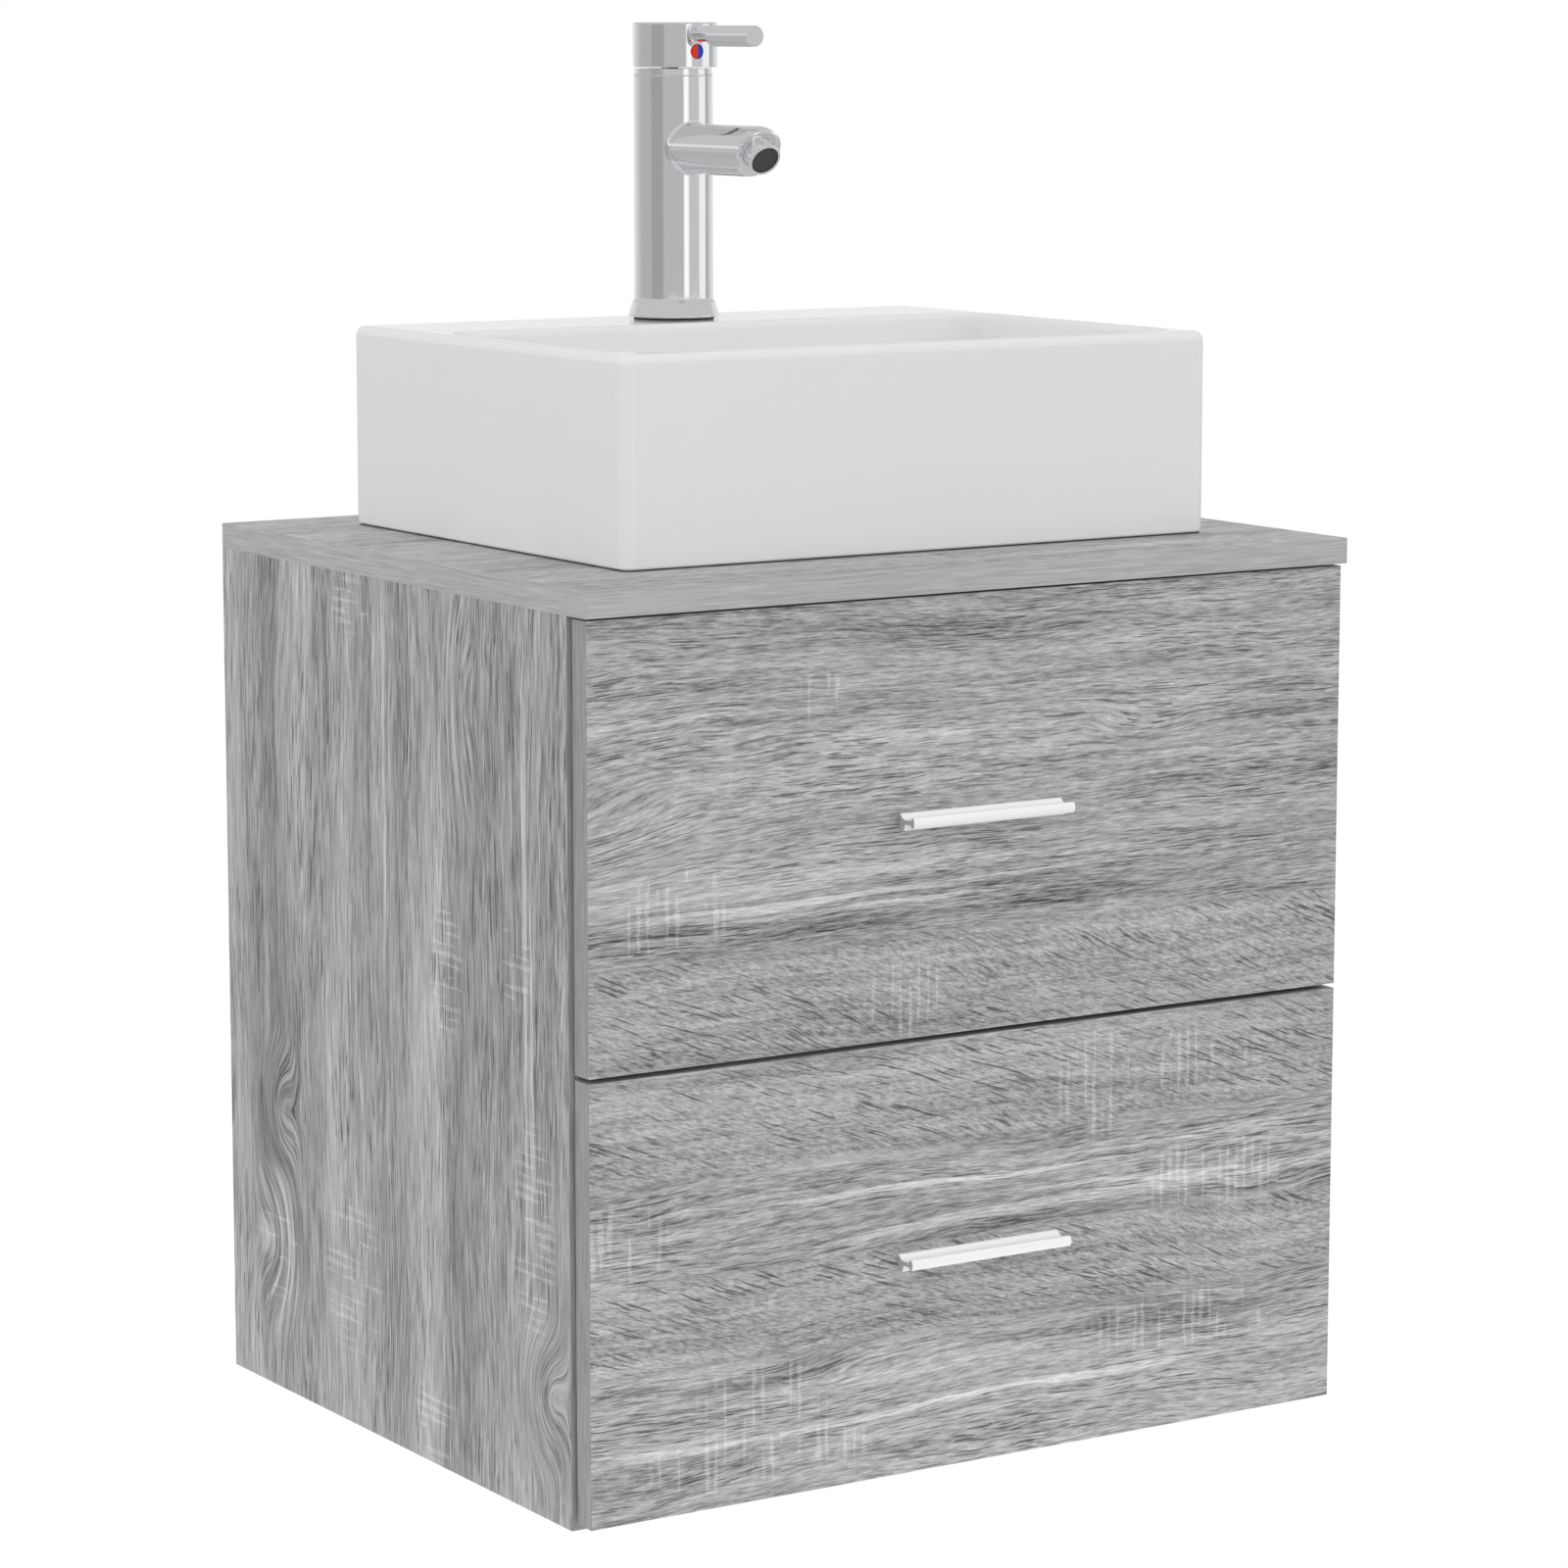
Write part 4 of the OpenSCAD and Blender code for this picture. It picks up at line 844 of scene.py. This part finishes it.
def build_spout():
    """Spout with a moulded saddle on the column, a ball end and a flat mouth for the aerator."""
    segments, saddle_steps, straight_steps, ball_steps = 96, 10, 12, 24
    bm = bmesh.new()
    angles = [2 * math.pi * k / segments for k in range(segments)]

    def saddle_point(a, share):
        """Quadratic curve from the column's face to the spout's face."""
        wide = SPOUT_R + SADDLE
        ex, ez = wide * math.cos(a), wide * math.sin(a)
        ey = -math.sqrt(COLUMN_R ** 2 - ex ** 2)
        cx, cz = SPOUT_R * math.cos(a), SPOUT_R * math.sin(a)
        cy = ey - ex * (cx - ex) / ey
        sy = cy - SADDLE
        first, corner, last = Vector((ex, ey, ez)), Vector((cx, cy, cz)), Vector((cx, sy, cz))
        return first * (1 - share) ** 2 + corner * 2 * share * (1 - share) + last * share ** 2

    def round_ring(radius, depths):
        """Circle round the spout's axis, with its own depth for each vertex."""
        return [bm.verts.new((radius * math.cos(a), y, radius * math.sin(a))) for a, y in zip(angles, depths)]

    root = []
    for a in angles:
        p = saddle_point(a, 0.0)
        root.append(bm.verts.new((p.x * ROOT_SINK, p.y + 1.2 * MM, p.z * ROOT_SINK)))
    rings = [root]
    for k in range(saddle_steps + 1):
        rings.append([bm.verts.new(saddle_point(a, k / saddle_steps)) for a in angles])
    starts = [v.co.y for v in rings[-1]]
    for k in range(1, straight_steps + 1):
        rings.append(round_ring(SPOUT_R, [y + (-SPOUT_REACH - y) * k / straight_steps for y in starts]))
    for k in range(1, ball_steps):
        t = math.radians(90 * k / ball_steps)
        depth = -SPOUT_REACH - SPOUT_R * math.sin(t)
        rings.append(round_ring(SPOUT_R * math.cos(t), [depth] * segments))
    rings.append([bm.verts.new((0, -SPOUT_REACH - SPOUT_R, 0))])
    for low_ring, high_ring in zip(rings, rings[1:]):
        bridge(bm, low_ring, high_ring)
    out = Vector((0, -math.cos(OUTLET_DIP), -math.sin(OUTLET_DIP)))
    centre = Vector((0, -SPOUT_REACH, 0))
    bmesh.ops.bisect_plane(bm, geom=bm.verts[:] + bm.edges[:] + bm.faces[:], dist=1e-7,
                           plane_co=centre + out * FACE, plane_no=out, clear_outer=True)
    rim = [e for e in bm.edges if e.is_boundary
           and all(abs((v.co - centre).dot(out) - FACE) < 1e-5 for v in e.verts)]
    for radius, depth in ((15.4 * MM, 0.6 * MM), (14.4 * MM, 0.9 * MM), (AERATOR_BORE, 0.9 * MM),
                          (AERATOR_BORE, -8 * MM)):
        made = bmesh.ops.extrude_edge_only(bm, edges=rim)["geom"]
        verts = [g for g in made if isinstance(g, bmesh.types.BMVert)]
        rim = [g for g in made if isinstance(g, bmesh.types.BMEdge)]
        for v in verts:
            flat = v.co - centre
            flat -= out * flat.dot(out)
            v.co = centre + out * (FACE + depth) + flat.normalized() * radius
    bmesh.ops.contextual_create(bm, geom=rim)
    bmesh.ops.translate(bm, verts=bm.verts, vec=TAP + Vector((0, 0, SPOUT_Z)))
    piece = new_object("tap_spout_moulded", bm, "cabinet", MATERIALS["chrome"], 30)
    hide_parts("tap_spout")
    outlet = Matrix.Translation(TAP + Vector((0, -SPOUT_REACH, SPOUT_Z)))
    outlet = outlet @ Matrix.Rotation(math.radians(90) + OUTLET_DIP, 4, "X")
    bm = bmesh.new()
    inner, top, seat = -3 * MM, MOUTH + AERATOR_OUT, MOUTH + 1.5 * MM
    profile = fillet([(AERATOR_THREAD, inner), (AERATOR_THREAD, FACE + 1.0 * MM),
                      (AERATOR_R, FACE + 1.3 * MM), (AERATOR_R, MOUTH + 3.2 * MM, 0.3 * MM),
                      (10.4 * MM, MOUTH + 3.7 * MM, 0.3 * MM),
                      (AERATOR_THREAD, MOUTH + 4.2 * MM, 0.3 * MM), (AERATOR_THREAD, top, 0.7 * MM),
                      (9.3 * MM, top, 0.4 * MM), (SCREEN_R, top - 1.4 * MM), (SCREEN_R, seat),
                      (WATERWAY_R, seat), (WATERWAY_R, inner), (AERATOR_THREAD, inner)])
    lathe(bm, profile, outlet, 128)
    housing = new_object("aerator_ring", bm, "cabinet", MATERIALS["chrome"], 30)
    for k in range(8):
        turn = outlet @ Matrix.Rotation(math.radians(45 * k + 22), 4, "Z")
        notch = box_mesh((10.3 * MM, 12 * MM), (-1.1 * MM, 1.1 * MM), (MOUTH + 1.1 * MM, MOUTH + 3.4 * MM))
        bmesh.ops.transform(notch, matrix=turn, verts=notch.verts)
        cut(housing, notch)
    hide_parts("aerator_housing")
    bm = bmesh.new()
    profile = fillet([(0, seat), (SCREEN_R, seat), (SCREEN_R, MOUTH + 4.2 * MM, 0.3 * MM),
                      (6 * MM, MOUTH + 4.45 * MM, 3 * MM), (0, MOUTH + 4.5 * MM)])
    lathe(bm, profile, outlet, 96)
    disc = new_object("aerator_screen", bm, "cabinet", MATERIALS["mesh_steel"])
    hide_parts("aerator_mesh")


def build_lever():
    """Cap with a slanted underside, its rod and the temperature mark."""
    bm = bmesh.new()
    centre = AT_TAP @ Matrix.Translation((0, HEAD_Y, 0))
    profile = fillet([(0, HEAD_Z), (HEAD_R, HEAD_Z, 0.4 * MM), (HEAD_R, HEAD_TOP, 1.1 * MM),
                      (0, HEAD_TOP)], 6)
    lathe(bm, profile, centre, 192)
    pivot = TAP + PIVOT
    normal = Vector((0, -math.sin(math.radians(LIFT_DEG)), math.cos(math.radians(LIFT_DEG))))
    cut_at = pivot + normal * (NECK_TOP + 0.5 * MM - PIVOT.z)
    bmesh.ops.bisect_plane(bm, geom=bm.verts[:] + bm.edges[:] + bm.faces[:], dist=1e-7,
                           plane_co=cut_at, plane_no=normal, clear_inner=True)
    edges = [e for e in bm.edges if e.is_boundary]
    bmesh.ops.contextual_create(bm, geom=edges)
    head = new_object("lever_cap", bm, "tap_lever", MATERIALS["chrome"], 30)
    cut(head, cylinder(HEAD_HOLLOW_R, HEAD_Z - 9 * MM, HEAD_Z + 13 * MM, AT_TAP, 128))
    seat = limits("temperature_mark")[1][1]
    cut(head, cylinder(MARK_R + 0.05 * MM, 0, 10 * MM, along_y(TAP.x, seat, TAP.z + MARK_Z), 64))
    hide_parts("lever_head")

    bm = bmesh.new()
    rod = along_y(TAP.x, TAP.y, TAP.z + LEVER_Z)
    length = -LEVER_TIP
    neck = -LEVER_NECK_Y
    profile = fillet([(0, neck), (LEVER_R, neck, 0.8 * MM), (LEVER_R, length, 0.5 * MM), (0, length)], 6)
    lathe(bm, profile, rod, 96)
    root = along_y(TAP.x, TAP.y, TAP.z + LEVER_NECK_Z)
    lathe(bm, [(0, 14 * MM), (NECK_R, 14 * MM), (NECK_R, neck + 0.6 * MM), (0, neck + 0.6 * MM)], root, 96)
    bar = new_object("lever_bar", bm, "tap_lever", MATERIALS["chrome"], 30)
    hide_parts("lever_rod")

    bm = bmesh.new()
    low, high = limits("temperature_mark")[1]
    dome = along_y(TAP.x, high, TAP.z + MARK_Z)
    thick = high - low
    profile = fillet([(0, 0), (MARK_R, 0), (MARK_R, thick * 0.55, 0.5 * MM), (0, thick)], 6)
    lathe(bm, profile, dome, 64)
    mark = new_object("mark_dome", bm, "tap_lever", MATERIALS["mark_red_blue"], 50)
    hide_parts("temperature_mark")


# ---------------------------------------------------------------- handles

# End profile in millimetres: how far it stands out, and its root, lip and finger hollow
HANDLE_REACH = 16
HANDLE_ROOT = 5.6
LIP_R = 4.3
HOLLOW_R = 6.0


def arc_points(across, up, radius, degrees):
    """Points of an arc round a centre, one for each angle."""
    return [(across + radius * math.cos(math.radians(a)), up + radius * math.sin(math.radians(a)))
            for a in degrees]


def build_handle(node, body):
    """Extruded rail: a root on the front, a hollow top and a rounded lip, with softened ends."""
    x, y, z = limits(node)
    face = y[1]
    middle = z[0] + HANDLE_ROOT * MM
    lip = arc_points(HANDLE_REACH - LIP_R, 0, LIP_R, range(-48, 49, 8))
    hollow = arc_points(0.8 + HOLLOW_R, 1 + HOLLOW_R, HOLLOW_R, range(270, 207, -6))
    outline = [(0, -HANDLE_ROOT), (5.2, -HANDLE_ROOT), (6, -1.2), (12.6, -1.2), (13, -3.2), *lip,
               (13.6, 3.2), (12.9, 2.6), (12.7, 1), *hollow, (0, 4.2)]
    bm = bmesh.new()
    ends = []
    for at in (x[0], x[1]):
        ends.append([bm.verts.new((at, face - a * MM, middle + b * MM)) for a, b in outline])
    bridge(bm, *ends)
    for ring in ends:
        bm.faces.new(ring)
    caps = [e for e in bm.edges if abs(e.verts[0].co.x - e.verts[1].co.x) < 1e-9]
    bmesh.ops.bevel(bm, geom=caps, offset=0.35 * MM, segments=2, profile=0.5, affect="EDGES",
                    clamp_overlap=True)
    piece = new_object(node + "_rail", bm, body, MATERIALS["handle_enamel"], 30)
    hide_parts(node)


# ---------------------------------------------------------------- stage, light and camera

CAMERA_AT = Vector((-1.701, -2.6655, 0.8771))
CAMERA_TURN = math.radians(32.564)
CAMERA_DIP = math.radians(8.693)
LENS = 115.52
FLOOR_DROP = 0.32
FLOOR_HALF = 0.55
FLOOR_GLOW = 0.82


def build_stage():
    """Small pale floor below the wall-hung cabinet, bright enough to fade into the white room."""
    mesh = bpy.data.meshes.new("floor")
    corners = [(x * FLOOR_HALF, y * FLOOR_HALF, 0) for x, y in ((-1, -1), (1, -1), (1, 1), (-1, 1))]
    mesh.from_pydata(corners, [], [(0, 1, 2, 3)])
    floor = bpy.data.objects.new("floor", mesh)
    floor.location = (0, 0, -FLOOR_DROP)
    bpy.context.scene.collection.objects.link(floor)
    net = Net("pale_floor", (0.8, 0.8, 0.8), 0.9)
    soft = net.noise(net.scale(net.where, (2.0, 2.0, 2.0)), 2.0)
    net.colours(soft, (0.79, 0.79, 0.79), (0.81, 0.81, 0.81))
    net.shader.inputs["Emission Color"].default_value = (1, 1, 1, 1)
    net.shader.inputs["Emission Strength"].default_value = FLOOR_GLOW
    mesh.materials.append(net.material)


def softbox(name, azimuth, elevation, distance, width, height, power, target=(0, 0, 0.5)):
    """Area light that looks at the target from an azimuth measured as the views' is."""
    a, e = math.radians(azimuth), math.radians(elevation)
    back = Vector((math.sin(a) * math.cos(e), -math.cos(a) * math.cos(e), math.sin(e)))
    data = bpy.data.lights.new(name, "AREA")
    data.shape = "RECTANGLE"
    data.size, data.size_y = width, height
    data.energy = power
    light = bpy.data.objects.new(name, data)
    light.location = Vector(target) + back * distance
    light.visible_glossy = False
    light.rotation_mode = "QUATERNION"
    light.rotation_quaternion = (-back).to_track_quat("-Z", "Y")
    bpy.context.scene.collection.objects.link(light)


# Grey of the studio's walls round the part: azimuth from the camera, anticlockwise seen from above,
# and the brightness from there on, as the tap's column reflects them
WALLS = [(-180, 0.18), (-164, 0.37), (-128, 0.50), (-66, 0.40), (-29, 0.54), (32, 1.15), (47, 0.62),
         (82, 1.00), (109, 0.36), (164, 0.20), (180, 0.20)]
WALL_BLUR = 3.5
# What polished faces see above the walls (ahead of the camera's side, behind the part, overhead),
# what all other faces see above them, and what both see below
GLOW = 0.95
BEHIND = 0.84
CEILING = 0.62
SKY_LOW = 1.55
SKY_HIGH = 0.62
BELOW = 0.52


def build_world():
    """White to the camera; a soft room with grey and white walls to everything else."""
    world = bpy.data.worlds.new("studio")
    bpy.context.scene.world = world
    world.use_nodes = True
    tree = world.node_tree
    tree.nodes.clear()
    net = Net.__new__(Net)
    net.tree = tree
    direction = net.add("ShaderNodeTexCoord").outputs["Generated"]
    x, y, z = net.split(direction)
    ahead_x, ahead_y = -math.sin(CAMERA_TURN), -math.cos(CAMERA_TURN)
    forward = net.plus(net.times(x, ahead_x), net.times(y, ahead_y))
    right = net.plus(net.times(x, -ahead_y), net.times(y, ahead_x))
    turn = net.math("ARCTAN2", right, forward)
    wall = WALLS[0][1]
    for (start, grey), (_, before) in zip(WALLS[1:], WALLS):
        low, high = math.radians(start - WALL_BLUR), math.radians(start + WALL_BLUR)
        wall = net.plus(wall, net.ramp(turn, low, high, 0.0, grey - before))
    sky = net.ramp(z, 0.55, 0.80, SKY_LOW, SKY_HIGH)
    soft = net.blend(wall, sky, net.ramp(z, 0.10, 0.30))
    back = net.ramp(net.math("ABSOLUTE", turn), math.radians(100), math.radians(150))
    ahead = net.plus(1.0, net.times(back, -1.0))
    mirrored = net.blend(wall, BEHIND, net.times(back, net.ramp(z, -0.12, -0.04)))
    mirrored = net.blend(mirrored, GLOW, net.times(ahead, net.ramp(z, 0.08, 0.12)))
    mirrored = net.blend(mirrored, CEILING, net.ramp(z, 0.17, 0.24))
    rays = net.add("ShaderNodeLightPath")
    level = net.blend(soft, mirrored, rays.outputs["Is Glossy Ray"])
    level = net.blend(BELOW, level, net.ramp(z, -0.35, -0.25))
    room = net.add("ShaderNodeBackground")
    tree.links.new(net.join(level, level, level), room.inputs["Color"])
    plain = net.add("ShaderNodeBackground")
    plain.inputs["Color"].default_value = (1, 1, 1, 1)
    mix = net.add("ShaderNodeMixShader")
    tree.links.new(rays.outputs["Is Camera Ray"], mix.inputs[0])
    tree.links.new(room.outputs[0], mix.inputs[1])
    tree.links.new(plain.outputs[0], mix.inputs[2])
    out = net.add("ShaderNodeOutputWorld")
    tree.links.new(mix.outputs[0], out.inputs[0])


def build_camera():
    """The photo's viewpoint, with no shift and no depth of field."""
    data = bpy.data.cameras.new("camera")
    data.lens = LENS
    data.sensor_width = 36
    data.clip_start = 0.1
    data.clip_end = 100
    camera = bpy.data.objects.new("camera", data)
    ahead = Vector((math.sin(CAMERA_TURN) * math.cos(CAMERA_DIP),
                    math.cos(CAMERA_TURN) * math.cos(CAMERA_DIP), -math.sin(CAMERA_DIP)))
    camera.location = CAMERA_AT
    camera.rotation_mode = "QUATERNION"
    camera.rotation_quaternion = ahead.to_track_quat("-Z", "Y")
    bpy.context.scene.collection.objects.link(camera)
    bpy.context.scene.camera = camera


build_camera()
build_world()
build_stage()
softbox("fill_left", -62, 12, 3.0, 1.6, 1.6, 9)
bpy.context.scene.view_settings.view_transform = "Standard"

dress_cad_nodes()
build_basin()
build_overflow_ring()
build_waste()
build_tap_column()
build_neck()
build_spout()
build_lever()
build_handle("upper_handle", "upper_drawer")
build_handle("lower_handle", "lower_drawer")

bpy.context.view_layer.update()
